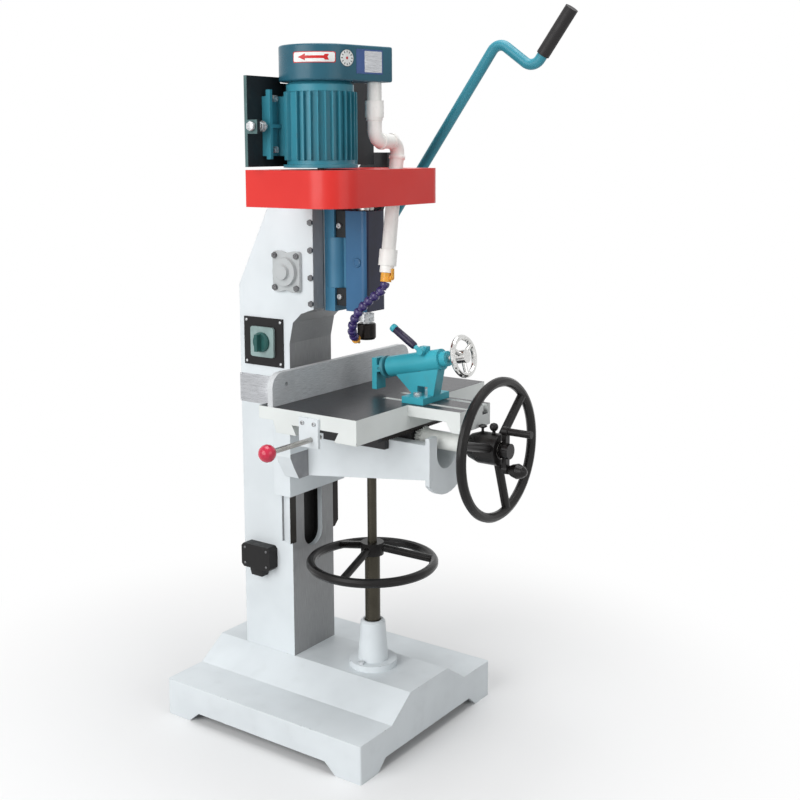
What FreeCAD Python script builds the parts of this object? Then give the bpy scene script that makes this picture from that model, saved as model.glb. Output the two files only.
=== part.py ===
import FreeCAD, Part
import math
import os
import Sketcher

# A floor-standing hollow-chisel mortiser: a box column on a cast base, a rack-fed spindle head
# with belt drive and chip blower, and a knee, saddle and table with a screw work clamp.
# Millimetres. +Z is up, the operator stands at -Y, and the origin is on the floor under the
# centre of the base.

Vector = FreeCAD.Vector
Rotation = FreeCAD.Rotation

doc = FreeCAD.newDocument("mortiser")
sheet = doc.addObject("Spreadsheet::Sheet", "sizes")

SIZES = {
    # fits between pieces
    "running_fit": 0.05, "slide_gap": 0.15, "air_gap": 0.3,
    # base casting
    "base_half_width": 233, "base_half_depth": 258.5, "skirt_height": 78, "base_wall": 12,
    "hump_half_width": 67, "hump_slope": 65, "hump_rise": 44, "base_corner": 4,
    "arch_height": 22, "arch_slope": 26, "arch_foot_x": 55, "arch_foot_y": 62,
    # column
    "column_half_width": 68, "column_rear": 185, "column_head_face": -22, "column_knee_face": 44,
    "column_top": 1085, "corbel_top": 876, "corbel_foot": 800, "rear_taper_foot": 909,
    "rear_taper_depth": 90, "column_edge": 6,
    "way_foot": 372, "way_top": 740, "way_depth": 29, "way_lean": 13.5, "way_stand_out": 7.5,
    "keeper_width": 18, "slot_half_width": 30, "slot_depth": 24, "slot_foot": 350,
    # head slide and its dovetail
    "slide_half_width": 29.6, "slide_foot": 870, "slide_top": 1080, "slide_front": -47,
    "slide_plate": 4, "web_y": -33,
    "dovetail_depth": 19.7, "dovetail_flare": 11.4, "gib_thickness": 5.8,
    "gib_screw_inset": 5.2,
    # feed shaft, pinion and rack
    "feed_axis_y": 43.5, "feed_axis_z": 950, "feed_shaft_radius": 12.5, "feed_module": 3,
    "feed_teeth": 36, "pinion_half_width": 10, "rack_foot": 928, "rack_top": 1062,
    "rack_backing": 4.5, "backlash": 0.25, "feed_travel": 80,
    "flange_half_y": 36, "flange_half_z": 42, "flange_ear": 20, "flange_plate": 8, "drum_radius": 29,
    "drum_depth": 17, "cap_radius": 15, "cap_depth": 25, "flange_spot_y": 29, "flange_spot_z": 33,
    "screw_hole": 3.2, "feed_shaft_end": 12,
    # feed lever
    "lever_plane": 196, "lever_radius": 11, "lever_reach": 574.5, "lever_rise_angle": 53.85,
    "lever_offset": 101.5, "grip_length": 140, "grip_radius": 13.5, "lever_hub_radius": 30,
    "lever_hub_length": 36, "outboard_plate_x": 150, "outboard_plate_thickness": 12,
    "outboard_foot": 20, "outboard_toe": 27, "outboard_nose": 94, "outboard_shoulder": 160,
    "outboard_rise": 241, "outboard_ridge": 43, "outboard_slope": 120, "outboard_rear": 56,
    # spindle head
    "spindle_y": -105, "housing_half_width": 34.6, "housing_half_depth": 25, "housing_foot": 874,
    "housing_top": 1076, "housing_corner": 11, "spigot_radius": 16.5, "spigot_height": 8,
    "block_half_width": 24, "upper_block_foot": 1021, "lower_block_foot": 882,
    "lower_block_top": 918, "web_half_width": 14,
    "spindle_radius": 10, "bearing_radius": 20, "bearing_height": 14, "collar_radius": 15.5,
    "collar_foot": 851, "collar_top": 867, "chuck_radius": 19, "chuck_foot": 814,
    "chuck_top": 847, "chuck_bore": 6.5, "chuck_bore_depth": 24,
    # belt drive
    "motor_x": -140, "belt_mid": 1120, "motor_pulley_radius": 40, "spindle_pulley_radius": 30,
    "pulley_half_height": 15, "belt_depth": 8, "belt_outer_half": 6.5, "belt_inner_half": 4,
    "belt_stand_out": 1.5,
    "cover_left": -235, "cover_right": 103, "cover_front": -217, "cover_rear": 2,
    "cover_foot": 1090, "cover_top": 1160, "cover_wall": 3, "cover_corner": 65,
    "cover_right_corner": 25,
    "notch_half_width": 80,
    # motor, its plate and the blower
    "plate_left": -265, "plate_right": 125, "plate_foot": 1166, "plate_top": 1334,
    "plate_rear": -26, "plate_thickness": 7, "carrier_half_width": 50, "carrier_top": 1290,
    "motor_radius": 62, "fin_height": 8, "fin_thickness": 2.4, "fin_foot": 1178,
    "fin_top": 1305, "motor_bore": 55, "rotor_radius": 34, "motor_shaft_radius": 7,
    "bell_flange": 71, "motor_foot": 1164, "motor_top": 1324, "foot_half_width": 84, "foot_thickness": 10,
    "foot_leg_half": 52, "foot_rail": 10, "foot_rail_width": 7, "tie_boss_half": 8,
    "cowl_radius": 77, "cowl_top": 1390, "cowl_wall": 3, "snout_angle": 13, "snout_length": 118,
    "snout_width": 56, "impeller_radius": 62,
    "cowl_notch_half": 31,
    # air pipe and hose
    "pipe_y": -175, "pipe_radius": 14, "pipe_wall": 2, "pipe_drop_x": -62, "pipe_run_z": 1213,
    "pipe_turn_x": 16, "pipe_end_x": -26, "pipe_end_z": 956, "pipe_bend": 22,
    "socket_top": 1290, "socket_radius": 18, "socket_length": 32, "hose_radius": 9.5,
    "valve_radius": 11, "valve_length": 18, "nozzle_radius": 2.5, "nozzle_length": 18,
    # knee and elevating screw
    "knee_foot": 477, "knee_top": 630, "root_front": 5, "root_half_width": 116, "root_edge": 573,
    "root_shoulder": 550, "root_shoulder_half": 105, "root_foot": 524, "root_foot_half_width": 90,
    "back_left": 84, "back_right": 98, "back_front": 35, "cheek_rear": 80,
    "arm_half_width": 60, "arm_front": -300, "arm_foot_front": 562,
    "trough_radius": 34, "trough_axis_z": 608, "nose_length": 10, "nose_top": 644,
    "nose_radius": 80, "nose_foot": 522,
    "screw_y": -115, "screw_radius": 18, "screw_foot": 104, "screw_shoulder": 362,
    "screw_neck_radius": 9.75, "screw_top": 560,
    "lower_wheel_radius": 138, "lower_wheel_z": 345, "rim_radius": 9.5, "lower_hub_radius": 24,
    "lower_hub_top": 388, "pedestal_top": 220, "pedestal_radius": 26, "pedestal_foot_radius": 32,
    "pedestal_flange": 13, "pedestal_flange_half": 50,
    # saddle, cross feed and table feed
    "saddle_half_width": 95, "saddle_front": -203, "saddle_rear": -8, "cheek_end": -48, "saddle_cheek": 14,
    "saddle_cheek_drop": 18, "feed_shaft_z": 628, "feed_tube_radius": 17.5, "table_module": 2,
    "table_teeth": 22, "bearing_block_front": -236, "pinion_front": -249, "pinion_length": 11,
    "cross_screw_radius": 8, "cross_screw_rear": -36, "nut_front": -112, "nut_rear": -84,
    "wheel_y": -417, "wheel_radius": 140, "wheel_hub_radius": 31, "wheel_hub_front": -425,
    "wheel_hub_rear": -360, "crank_front": -441, "crank_hub_radius": 15, "crank_arm": 38,
    "crank_bar_radius": 7, "crank_bar_end": -490, "egg_radius": 15,
    # table, fence and stop
    "table_half_length": 224, "table_front": -249, "table_rear": -10, "table_top": 705,
    "table_plate": 25, "table_foot": 656.5, "front_rail": 53, "table_way_width": 92,
    "table_way_height": 19.5, "table_way_flare": 11, "rear_rail": 50,
    "rack_half_length": 132, "extension_left": -60, "extension_right": 48,
    "extension_front": -370, "extension_thickness": 22, "lip_depth": 42, "lip_length": 20,
    "tslot_spacing": 60, "tslot_half_width": 6, "tslot_depth": 12, "tslot_foot_half": 10,
    "tslot_foot_depth": 7, "tslot_rear": -170,
    "fence_left": -224, "fence_right": 232, "fence_front": -46, "fence_thickness": 13,
    "fence_height": 64, "fence_corner": 28, "fence_hole_radius": 4, "fence_hole_x": -182.6,
    "fence_hole_rise": 39.6, "bracket_x": 120,
    "stop_y": -145, "stop_z": 656, "stop_radius": 5, "stop_end": -203, "ball_x": -352,
    "ball_radius": 16.5,
    # work clamp
    "clamp_tilt": 12.2, "clamp_wheel_y": -339, "clamp_wheel_rise": 96, "clamp_wheel_radius": 42.5,
    "barrel_radius": 21, "barrel_start": 50, "barrel_end": 177, "ram_radius": 14,
    "ram_start": 60, "ram_end": 183, "ram_disc_radius": 23, "ram_disc": 7,
    "clamp_screw_radius": 7, "clamp_foot_left": -48, "clamp_foot_right": 44,
    "clamp_foot_front": -277, "clamp_foot_rear": -226, "clamp_foot_height": 13,
    "lock_y": -254, "lock_rise": 101, "clamp_web_half": 13, "pad_front": -141,
    "pad_rear": -129, "pad_foot_rise": 11, "pad_top_rise": 75,
    "pad_half_width": 15,
    # electrics
    "switch_y": 113.5, "switch_z": 798, "switch_plate_half_width": 54, "switch_plate_half": 51,
    "switch_plate_depth": 3, "switch_body_half": 32, "switch_body_depth": 8, "switch_corner": 6,
    "knob_radius": 21, "knob_depth": 7.7, "knob_bar": 12, "knob_pin_radius": 4,
    "box_y": 128, "box_foot": 306, "box_top": 358, "box_half_width": 40, "box_depth": 26,
    "box_corner": 6, "gland_length": 14, "gland_radius": 8,
}


class Size:
    """A length that carries its value and the sheet formula it comes from."""

    def __init__(self, value, formula=None):
        self.value = float(value)
        self.formula = formula or f"({self.value:.9g})"

    @staticmethod
    def of(number):
        return number if isinstance(number, Size) else Size(number)

    def combine(self, other, sign, value):
        return Size(value, f"({self.formula} {sign} {other.formula})")

    def __add__(self, other):
        other = Size.of(other)
        return self.combine(other, "+", self.value + other.value)

    def __sub__(self, other):
        other = Size.of(other)
        return self.combine(other, "-", self.value - other.value)

    def __mul__(self, other):
        other = Size.of(other)
        return self.combine(other, "*", self.value * other.value)

    def __truediv__(self, other):
        other = Size.of(other)
        return self.combine(other, "/", self.value / other.value)

    def __neg__(self):
        return Size(-self.value, f"(0 - {self.formula})")

    def __radd__(self, other):
        return Size.of(other) + self

    def __rsub__(self, other):
        return Size.of(other) - self

    def __rmul__(self, other):
        return Size.of(other) * self


def sine(angle):
    return Size(math.sin(math.radians(angle.value)), f"sin({angle.formula})")


def cosine(angle):
    return Size(math.cos(math.radians(angle.value)), f"cos({angle.formula})")


class Sheet:
    """The spreadsheet's cells as attributes."""


s = Sheet()
for row, (alias, number) in enumerate(SIZES.items(), start=1):
    sheet.set(f"A{row}", alias)
    sheet.set(f"B{row}", str(number))
    sheet.setAlias(f"B{row}", alias)
    setattr(s, alias, Size(number, f"sizes.{alias}"))
doc.recompute()

# ---------------------------------------------------------------- how pieces are made

UPRIGHT = Rotation()
ALONG_X = Rotation(Vector(0, 1, 0), 90)  # local x, y, z become world -z, y, x
FACING_LEFT = Rotation(Vector(0, 1, 0), -90)  # local x, y, z become world z, y, -x
FACING_FRONT = Rotation(Vector(1, 0, 0), 90)  # local x, y, z become world x, -z, y

SUB_PARTS = []


def bind(target, path, number):
    """Tie one property to its formula in the sheet."""
    target.setExpression(path, Size.of(number).formula)


def place(target, at, turn):
    target.Placement = FreeCAD.Placement(Vector(), turn)
    for axis, number in zip("xyz", at):
        if isinstance(number, Size) or number:
            bind(target, f".Placement.Base.{axis}", number)


def sub_part(target, name):
    """Register a finished object under the name its file gets."""
    target.Label = name
    SUB_PARTS.append(target)
    return target


def raw_body(name, at=(0, 0, 0), turn=UPRIGHT):
    body = doc.addObject("PartDesign::Body", name)
    body.AllowCompound = True
    place(body, at, turn)
    return body


def new_piece(name, at=(0, 0, 0), turn=UPRIGHT):
    return sub_part(raw_body(name, at, turn), name)


def sketch_on(body, plane, offset):
    """A sketch parallel to one of the body's origin planes, moved along that plane's normal."""
    sketch = body.newObject("Sketcher::SketchObject", body.Name + "_sketch")
    role = plane + "_Plane"
    support = [item for item in body.Origin.OriginFeatures if item.Role == role][0]
    sketch.AttachmentSupport = [(support, "")]
    sketch.MapMode = "FlatFace"
    bind(sketch, ".AttachmentOffset.Base.z", offset)
    return sketch


def fix_point(sketch, geometry, position, point):
    """Hold one sketch point at its two formulas, measured from the origin."""
    for kind, axis, number in (("DistanceX", -2, point[0]), ("DistanceY", -1, point[1])):
        number = Size.of(number)
        if abs(number.value) < 1e-9:
            sketch.addConstraint(Sketcher.Constraint("PointOnObject", geometry, position, axis))
            continue
        index = sketch.addConstraint(
            Sketcher.Constraint(kind, -1, 1, geometry, position, number.value)
        )
        bind(sketch, f"Constraints[{index}]", number)


def add_polygon(sketch, points):
    start = sketch.GeometryCount
    spots = [Vector(Size.of(x).value, Size.of(y).value) for x, y in points]
    for first, second in zip(spots, spots[1:] + spots[:1]):
        sketch.addGeometry(Part.LineSegment(first, second), False)
    for number, point in enumerate(points):
        before = start + (number - 1) % len(points)
        sketch.addConstraint(Sketcher.Constraint("Coincident", before, 2, start + number, 1))
        fix_point(sketch, start + number, 1, point)


def add_circle(sketch, centre, radius):
    spot = Vector(Size.of(centre[0]).value, Size.of(centre[1]).value)
    circle = Part.Circle(spot, Vector(0, 0, 1), Size.of(radius).value)
    geometry = sketch.addGeometry(circle, False)
    fix_point(sketch, geometry, 3, centre)
    index = sketch.addConstraint(
        Sketcher.Constraint("Radius", geometry, Size.of(radius).value)
    )
    bind(sketch, f"Constraints[{index}]", radius)


def outline(body, plane, shapes, low, high):
    """A sketch at the end the solid grows from: shapes are polygons, or (centre, radius)."""
    sketch = sketch_on(body, plane, -Size.of(high) if plane == "XZ" else low)
    for shape in shapes:
        if isinstance(shape, tuple):
            add_circle(sketch, *shape)
        else:
            add_polygon(sketch, shape)
    return sketch


def pad(body, plane, shapes, low, high):
    """Add material between two stations along the plane's axis."""
    feature = body.newObject("PartDesign::Pad", body.Name + "_pad")
    feature.Profile = outline(body, plane, shapes, low, high)
    bind(feature, "Length", Size.of(high) - low)
    doc.recompute()


def pocket(body, plane, shapes, low, high):
    """Take material away between two stations, and make sure that some went."""
    before = body.Shape.Volume
    feature = body.newObject("PartDesign::Pocket", body.Name + "_pocket")
    feature.Profile = outline(body, plane, shapes, low, high)
    feature.Reversed = True
    bind(feature, "Length", Size.of(high) - low)
    doc.recompute()
    if body.Shape.Volume >= before:
        raise ValueError(f"a pocket in {body.Label} cuts nothing")


def revolve(body, profile):
    """Turn a closed (radius, height) profile about the body's Z axis."""
    feature = body.newObject("PartDesign::Revolution", body.Name + "_turned")
    sketch = outline(body, "XZ", [profile], 0, 0)
    feature.Profile = sketch
    feature.ReferenceAxis = (sketch, ["V_Axis"])
    feature.Angle = 360
    doc.recompute()


def stack(*steps):
    """Half profile of a stepped round piece: (radius, low, high) from the bottom up."""
    points = [(0, steps[0][1])]
    for radius, low, high in steps:
        points += [(radius, low), (radius, high)]
    return points + [(0, steps[-1][2])]


def ring(inner, outer, low, high):
    return [(inner, low), (outer, low), (outer, high), (inner, high)]


def turned(name, profile, at=(0, 0, 0), turn=UPRIGHT):
    body = new_piece(name, at, turn)
    revolve(body, profile)
    return body


def block(low_u, high_u, low_v, high_v):
    return [(low_u, low_v), (high_u, low_v), (high_u, high_v), (low_u, high_v)]


def round_edges(body, radius, axis, spots):
    """Round the straight edges that run along an axis through the given spots."""
    doc.recompute()
    kept = {"x": (1, 2), "y": (0, 2), "z": (0, 1)}[axis]
    names = []
    for number, edge in enumerate(body.Tip.Shape.Edges, start=1):
        ends = [tuple(vertex.Point) for vertex in edge.Vertexes]
        for spot in spots:
            goal = [Size.of(value).value for value in spot]
            hits = [abs(end[k] - g) < 0.01 for end in ends for k, g in zip(kept, goal)]
            if len(ends) == 2 and all(hits) and edge.Length > 0.5:
                names.append(f"Edge{number}")
    base = body.Tip
    feature = body.newObject("PartDesign::Fillet", body.Name + "_round")
    feature.Base = (base, names)
    bind(feature, "Radius", radius)
    doc.recompute()


def fuse(name, tools):
    feature = doc.addObject("Part::MultiFuse", name)
    feature.Shapes = tools
    feature.Refine = True
    return feature


def cut(name, base, tool):
    feature = doc.addObject("Part::Cut", name)
    feature.Base = base
    feature.Tool = tool
    return feature


def cylinder(name, radius, low, high, at=(0, 0, 0), turn=UPRIGHT):
    """A plain round tool along its own Z axis from one station to another."""
    return raw_turned(name, stack((radius, low, high)), at, turn)


def raw_turned(name, profile, at, turn):
    body = raw_body(name, at, turn)
    revolve(body, profile)
    return body


def coded(name, shape):
    """A sub-part whose shape is worked out in code from the sheet."""
    feature = doc.addObject("Part::Feature", name)
    feature.Shape = shape
    return sub_part(feature, name)


def hexagon(centre, radius):
    """Six corners round a bolt's centre."""
    corners = []
    for step in range(6):
        angle = math.radians(60 * step)
        corners.append((centre[0] + radius * math.cos(angle), centre[1] + radius * math.sin(angle)))
    return corners


def add_bolts(body, centres, head, head_height, shank, length, seat=0):
    """Hexagon-head bolts as separate solids: heads stand on a seat, shanks go below it."""
    pad(body, "XY", [hexagon(centre, Size.of(head)) for centre in centres], seat, seat + head_height)
    pad(body, "XY", [(centre, Size.of(shank)) for centre in centres], seat - Size.of(length), seat)


def bolts(name, centres, head, head_height, shank, length, at, turn):
    body = new_piece(name, at, turn)
    add_bolts(body, centres, head, head_height, shank, length)
    return body


def vector(point):
    return Vector(*[Size.of(value).value for value in point])


def bent_bar(points, bend, radius):
    """A round bar of straight runs joined by tangent arcs, built run by run."""
    spots = [vector(point) for point in points]
    pieces = []
    start = spots[0]
    for before, corner, after in zip(spots, spots[1:], spots[2:]):
        into = (before - corner).normalize()
        out = (after - corner).normalize()
        turn = math.pi - into.getAngle(out)
        first = corner + into * bend * math.tan(turn / 2)
        centre = corner + (into + out).normalize() * (bend / math.cos(turn / 2))
        pieces.append(Part.makeCylinder(radius, (first - start).Length, start, first - start))
        section = Part.Face(Part.Wire(Part.makeCircle(radius, first, -into)))
        pieces.append(section.revolve(centre, (-into).cross(out), math.degrees(turn)))
        start = corner + out * bend * math.tan(turn / 2)
    pieces.append(Part.makeCylinder(radius, (spots[-1] - start).Length, start, spots[-1] - start))
    return pieces[0].fuse(pieces[1:]).removeSplitter()


def gear_outline(module, teeth, play):
    """Corner points of an involute spur gear, 20 degrees, thinned by half the backlash."""
    pitch = module * teeth / 2
    base = pitch * math.cos(math.radians(20))
    tip = pitch + module
    root = pitch - 1.25 * module

    def involute(radius):
        if radius <= base:
            return 0.0
        roll = math.sqrt((radius / base) ** 2 - 1)
        return roll - math.atan(roll)

    half = math.pi / (2 * teeth) + involute(pitch) - play / (2 * pitch)
    heights = [max(base, root), (base + tip) / 2, tip]
    points = []
    for tooth in range(teeth):
        middle = 2 * math.pi * tooth / teeth
        flank = [(root, half)] + [(radius, half - involute(radius)) for radius in heights]
        for radius, angle in flank:
            points.append((radius, middle - angle))
        for radius, angle in reversed(flank):
            points.append((radius, middle + angle))
    return [Vector(r * math.cos(a), r * math.sin(a), 0) for r, a in points]


def spur_gear(module, teeth, play, bore, length):
    """A gear about Z from z = 0, with a bore."""
    points = gear_outline(module, teeth, play)
    face = Part.Face(Part.makePolygon(points + points[:1]))
    gear = face.extrude(Vector(0, 0, length))
    return gear.cut(Part.makeCylinder(bore, length + 2, Vector(0, 0, -1)))


def rack_bar(module, low, high, backing, play, width):
    """A straight rack along X from low to high with a space centred on x = 0. The teeth point
    along +Y from a back at -backing - 1.25 module, the pitch line is at y = 0."""
    pitch = math.pi * module
    lean = math.tan(math.radians(20))
    half = pitch / 4 - play / 2
    root = -1.25 * module
    points = [Vector(low, root - backing, 0)]
    first = math.ceil(low / pitch - 0.5 + (half + 1.25 * module * lean) / pitch + 0.01)
    last = math.floor(high / pitch - 0.5 - (half + 1.25 * module * lean) / pitch - 0.01)
    points.append(Vector(low, root, 0))
    for tooth in range(first, last + 1):
        middle = (tooth + 0.5) * pitch
        foot = half - root * lean
        top = half - module * lean
        points.append(Vector(middle - foot, root, 0))
        points.append(Vector(middle - top, module, 0))
        points.append(Vector(middle + top, module, 0))
        points.append(Vector(middle + foot, root, 0))
    points.append(Vector(high, root, 0))
    points.append(Vector(high, root - backing, 0))
    face = Part.Face(Part.makePolygon(points + points[:1]))
    return face.extrude(Vector(0, 0, width))

# ---------------------------------------------------------------- base and column

hump_top = s.skirt_height + s.hump_rise
hump_foot = s.hump_half_width + s.hump_slope


def arch(half, slope, height):
    """The low opening between two feet."""
    return [(-half - slope, 0), (-half, height), (half, height), (half + slope, 0)]


def make_base():
    """A hollow casting on four feet, with a raised hump from front to rear."""
    body = new_piece("base")
    section = [
        (-s.base_half_width, 0), (-s.base_half_width, s.skirt_height),
        (-hump_foot, s.skirt_height), (-s.hump_half_width, hump_top),
        (s.hump_half_width, hump_top), (hump_foot, s.skirt_height),
        (s.base_half_width, s.skirt_height), (s.base_half_width, 0),
    ]
    pad(body, "XZ", [section], -s.base_half_depth, s.base_half_depth)
    inner_x = s.base_half_width - s.base_wall
    inner_y = s.base_half_depth - s.base_wall
    roof = s.skirt_height - s.base_wall
    pocket(body, "XY", [block(-inner_x, inner_x, -inner_y, inner_y)], 0, roof)
    front_half = s.base_half_width - s.arch_foot_x - s.arch_slope
    side_half = s.base_half_depth - s.arch_foot_y - s.arch_slope
    pocket(body, "XZ", [arch(front_half, s.arch_slope, s.arch_height)],
           -s.base_half_depth, s.base_half_depth)
    pocket(body, "YZ", [arch(side_half, s.arch_slope, s.arch_height)],
           -s.base_half_width, s.base_half_width)
    pocket(body, "XY", [((0, s.screw_y), s.screw_radius + 3)], roof, hump_top)
    corners = [(i * s.base_half_width, j * s.base_half_depth) for i in (-1, 1) for j in (-1, 1)]
    round_edges(body, s.base_corner, "z", corners)


def make_column():
    """A box casting with a dovetail groove for the head and a dovetail way for the knee."""
    body = new_piece("column")
    side = [
        (s.column_knee_face, hump_top), (s.column_knee_face, s.corbel_foot),
        (s.column_knee_face - 10, s.corbel_foot + 44), (s.column_knee_face - 32, s.corbel_foot + 64),
        (s.column_head_face, s.corbel_top), (s.column_head_face, s.column_top),
        (s.column_rear - s.rear_taper_depth, s.column_top), (s.column_rear, s.rear_taper_foot),
        (s.column_rear, hump_top),
    ]
    w = s.column_half_width
    pad(body, "YZ", [side], -w, w)
    round_edges(body, s.column_edge, "z", [(-w, s.column_rear), (w, s.column_rear)])
    # the knee way: the left flank is cast on, the right one is the bolted keeper
    face = s.column_knee_face
    deep = face + s.way_depth
    proud = w + s.way_stand_out
    meet = face + s.way_depth * s.way_stand_out / s.way_lean
    pad(body, "XY", [[(-proud, face), (-w, face), (-w, meet)]], s.way_foot, s.way_top)
    pocket(body, "XY", [[(-proud, face), (-proud + s.way_lean, deep), (-proud - 5, deep)]],
           s.way_foot, s.way_top)
    slot_round = s.slot_foot + s.slot_half_width
    pocket(body, "XZ", [block(-s.slot_half_width, s.slot_half_width, slot_round, s.way_top)],
           face, face + s.slot_depth)
    pocket(body, "XZ", [((0, slot_round), s.slot_half_width)], face, face + s.slot_depth)
    # the head groove: wider on the left by the gib
    front = s.column_head_face
    gap = s.slide_gap
    left = s.slide_half_width + s.gib_thickness + 2 * gap
    right = s.slide_half_width + gap
    rear = front + s.dovetail_depth + s.air_gap
    flare = s.dovetail_flare * (s.dovetail_depth + s.air_gap) / s.dovetail_depth
    groove = [(-left, front), (right, front), (right + flare, rear), (-left - flare, rear)]
    travel_foot = s.slide_foot - s.feed_travel
    pocket(body, "XY", [groove], travel_foot, s.column_top)
    gear_room = s.pinion_half_width + 2
    chamber = s.feed_module * (s.feed_teeth / 2 + 1) + 3
    pocket(body, "YZ", [((s.feed_axis_y, s.feed_axis_z), chamber)], -gear_room, gear_room)
    pocket(body, "YZ", [((s.feed_axis_y, s.feed_axis_z), s.feed_shaft_radius + s.running_fit)],
           -w, w)
    gib_holes = [((front + s.gib_screw_inset, z), 3.2) for z in gib_heights]
    pocket(body, "YZ", gib_holes, -w, -left - 2)
    pocket(body, "YZ", [(spot, 3.2) for spot in flange_spots], -w, -w + 16)


gib_heights = [s.feed_axis_z + rise for rise in (102, 46, -10, -63)]
flange_spots = [
    (s.feed_axis_y + across, s.feed_axis_z + up)
    for across in (-s.flange_spot_y, s.flange_spot_y) for up in (-s.flange_spot_z, s.flange_spot_z)
]
make_base()
make_column()


def make_keeper():
    """The bolted right-hand flank of the knee way, with a chamfered foot."""
    body = new_piece("way_keeper")
    face = s.column_knee_face
    w = s.column_half_width
    deep = face + s.way_depth
    wide = w + s.keeper_width
    pad(body, "XY", [[(w, face), (wide, face), (wide - s.way_lean, deep), (w, deep)]],
        s.way_foot, s.way_top)
    pocket(body, "XZ", [[(wide - 12, s.way_foot), (wide + 1, s.way_foot), (wide + 1, s.way_foot + 13)]],
           face, deep)


def make_head_gib():
    """The tapered strip beside the slide, set by four screws through the column's side."""
    body = new_piece("head_gib")
    front = s.column_head_face
    outer = s.slide_half_width + s.gib_thickness + s.slide_gap
    inner = s.slide_half_width + s.slide_gap
    rear = front + s.dovetail_depth
    flare = s.dovetail_flare
    pad(body, "XY", [[(-outer, front), (-inner, front), (-inner - flare, rear), (-outer - flare, rear)]],
        s.slide_foot, s.slide_top)


make_keeper()
make_head_gib()
side = s.column_half_width
column_bolts = raw_body("column_bolts", (-side, 0, 0), FACING_LEFT)
add_bolts(column_bolts, [(z, s.column_head_face + s.gib_screw_inset) for z in gib_heights], 6.5, 5, 3, 22)
add_bolts(column_bolts, [(up, across) for across, up in flange_spots], 6.5, 5, 3, 22, 8)


def make_feed_bearing():
    """The flange that closes the left end of the feed shaft: four ears, a drum and a cap."""
    body = new_piece("feed_bearing", (-side, s.feed_axis_y, s.feed_axis_z), FACING_LEFT)
    up, across, ear = s.flange_half_z, s.flange_half_y, s.flange_ear
    pad(body, "XY", [[(-up, -across), (ear - up, -across), (up - ear, -across), (up, -across),
                      (up, ear - across), (up - 4, 0), (up, across - ear), (up, across),
                      (-up, across), (-up, across - ear), (4 - up, 0), (-up, ear - across)]],
        0, s.flange_plate)
    round_edges(body, 7, "z", [(i * up, j * across) for i in (-1, 1) for j in (-1, 1)])
    pad(body, "XY", [((0, 0), s.drum_radius)], s.flange_plate, s.drum_depth)
    pad(body, "XY", [((0, 0), s.cap_radius)], s.drum_depth, s.cap_depth)
    pocket(body, "XY", [((0, 0), s.feed_shaft_radius + s.running_fit)], 0, s.feed_shaft_end + 1)
    pocket(body, "XY", [((i * s.flange_spot_z, j * s.flange_spot_y), s.screw_hole)
                        for i in (-1, 1) for j in (-1, 1)], 0, s.flange_plate)


make_feed_bearing()

# ---------------------------------------------------------------- feed shaft, pinion, lever

plate_x = s.outboard_plate_x
plate_back = plate_x + s.outboard_plate_thickness
hub_low = s.lever_plane - s.lever_hub_length / 2
hub_high = s.lever_plane + s.lever_hub_length / 2
shaft_end_radius = s.feed_shaft_radius - 2.5
turned("feed_shaft", stack((s.feed_shaft_radius, -side - s.feed_shaft_end, hub_low),
                           (shaft_end_radius, hub_low, hub_high)),
       (0, s.feed_axis_y, s.feed_axis_z), ALONG_X)


def frame_of(x_axis, y_axis, origin):
    """The placement that carries local X and Y to the given directions."""
    z_axis = x_axis.cross(y_axis)
    matrix = FreeCAD.Matrix(
        x_axis.x, y_axis.x, z_axis.x, origin.x,
        x_axis.y, y_axis.y, z_axis.y, origin.y,
        x_axis.z, y_axis.z, z_axis.z, origin.z,
        0, 0, 0, 1)
    return FreeCAD.Placement(matrix)


def pinion_centre_distance(module, teeth):
    return module * teeth / 2


def make_feed_gears():
    """The rack on the slide's back and the pinion that meshes with it: a tooth of the pinion
    points at a space of the rack at rest."""
    module = s.feed_module.value
    teeth = round(s.feed_teeth.value)
    half = s.pinion_half_width.value
    axis = Vector(-half, s.feed_axis_y.value, s.feed_axis_z.value)
    gear = spur_gear(module, teeth, s.backlash.value,
                     (s.feed_shaft_radius + s.running_fit).value, 2 * half)
    gear.Placement = frame_of(Vector(0, -1, 0), Vector(0, 0, -1), axis)
    coded("feed_pinion", gear)
    low = s.rack_foot.value - s.feed_axis_z.value
    high = s.rack_top.value - s.feed_axis_z.value
    rack = rack_bar(module, low, high, s.rack_backing.value, s.backlash.value, 2 * half)
    rack.Placement = frame_of(Vector(0, 0, 1), Vector(0, 1, 0), Vector(half, feed_pitch_y.value, axis.z))
    coded("feed_rack", rack)


slide_rear = s.column_head_face + s.dovetail_depth
feed_pitch_y = s.feed_axis_y - s.feed_module * s.feed_teeth / 2
rack_seat = feed_pitch_y - s.feed_module * 1.25 - s.rack_backing
make_feed_gears()


def make_outboard_plate():
    """The black bearing plate beside the column, on two distance pieces."""
    body = new_piece("outboard_bearing", (0, 0, 0))
    y = s.feed_axis_y
    z = s.feed_axis_z
    foot, top, rear = z - s.outboard_foot, z + s.outboard_rise, y + s.outboard_rear
    toe, nose = y - s.outboard_toe, y - s.outboard_nose
    shape = [(toe, foot), (toe, z + s.outboard_foot), (nose, z + s.outboard_shoulder), (nose, top),
             (y - s.outboard_ridge, top), (rear, z + s.outboard_slope), (rear, foot)]
    pad(body, "YZ", [shape], plate_x, plate_back)
    pocket(body, "YZ", [((y, z), s.feed_shaft_radius + s.running_fit)], plate_x, plate_back)
    pillars = [((y - 12, z + 85), 9), ((y + 42, z + 85), 9)]
    pad(body, "YZ", pillars, s.column_half_width, plate_x)


make_outboard_plate()

lever_at = (s.lever_plane, s.feed_axis_y, s.feed_axis_z)

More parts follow.
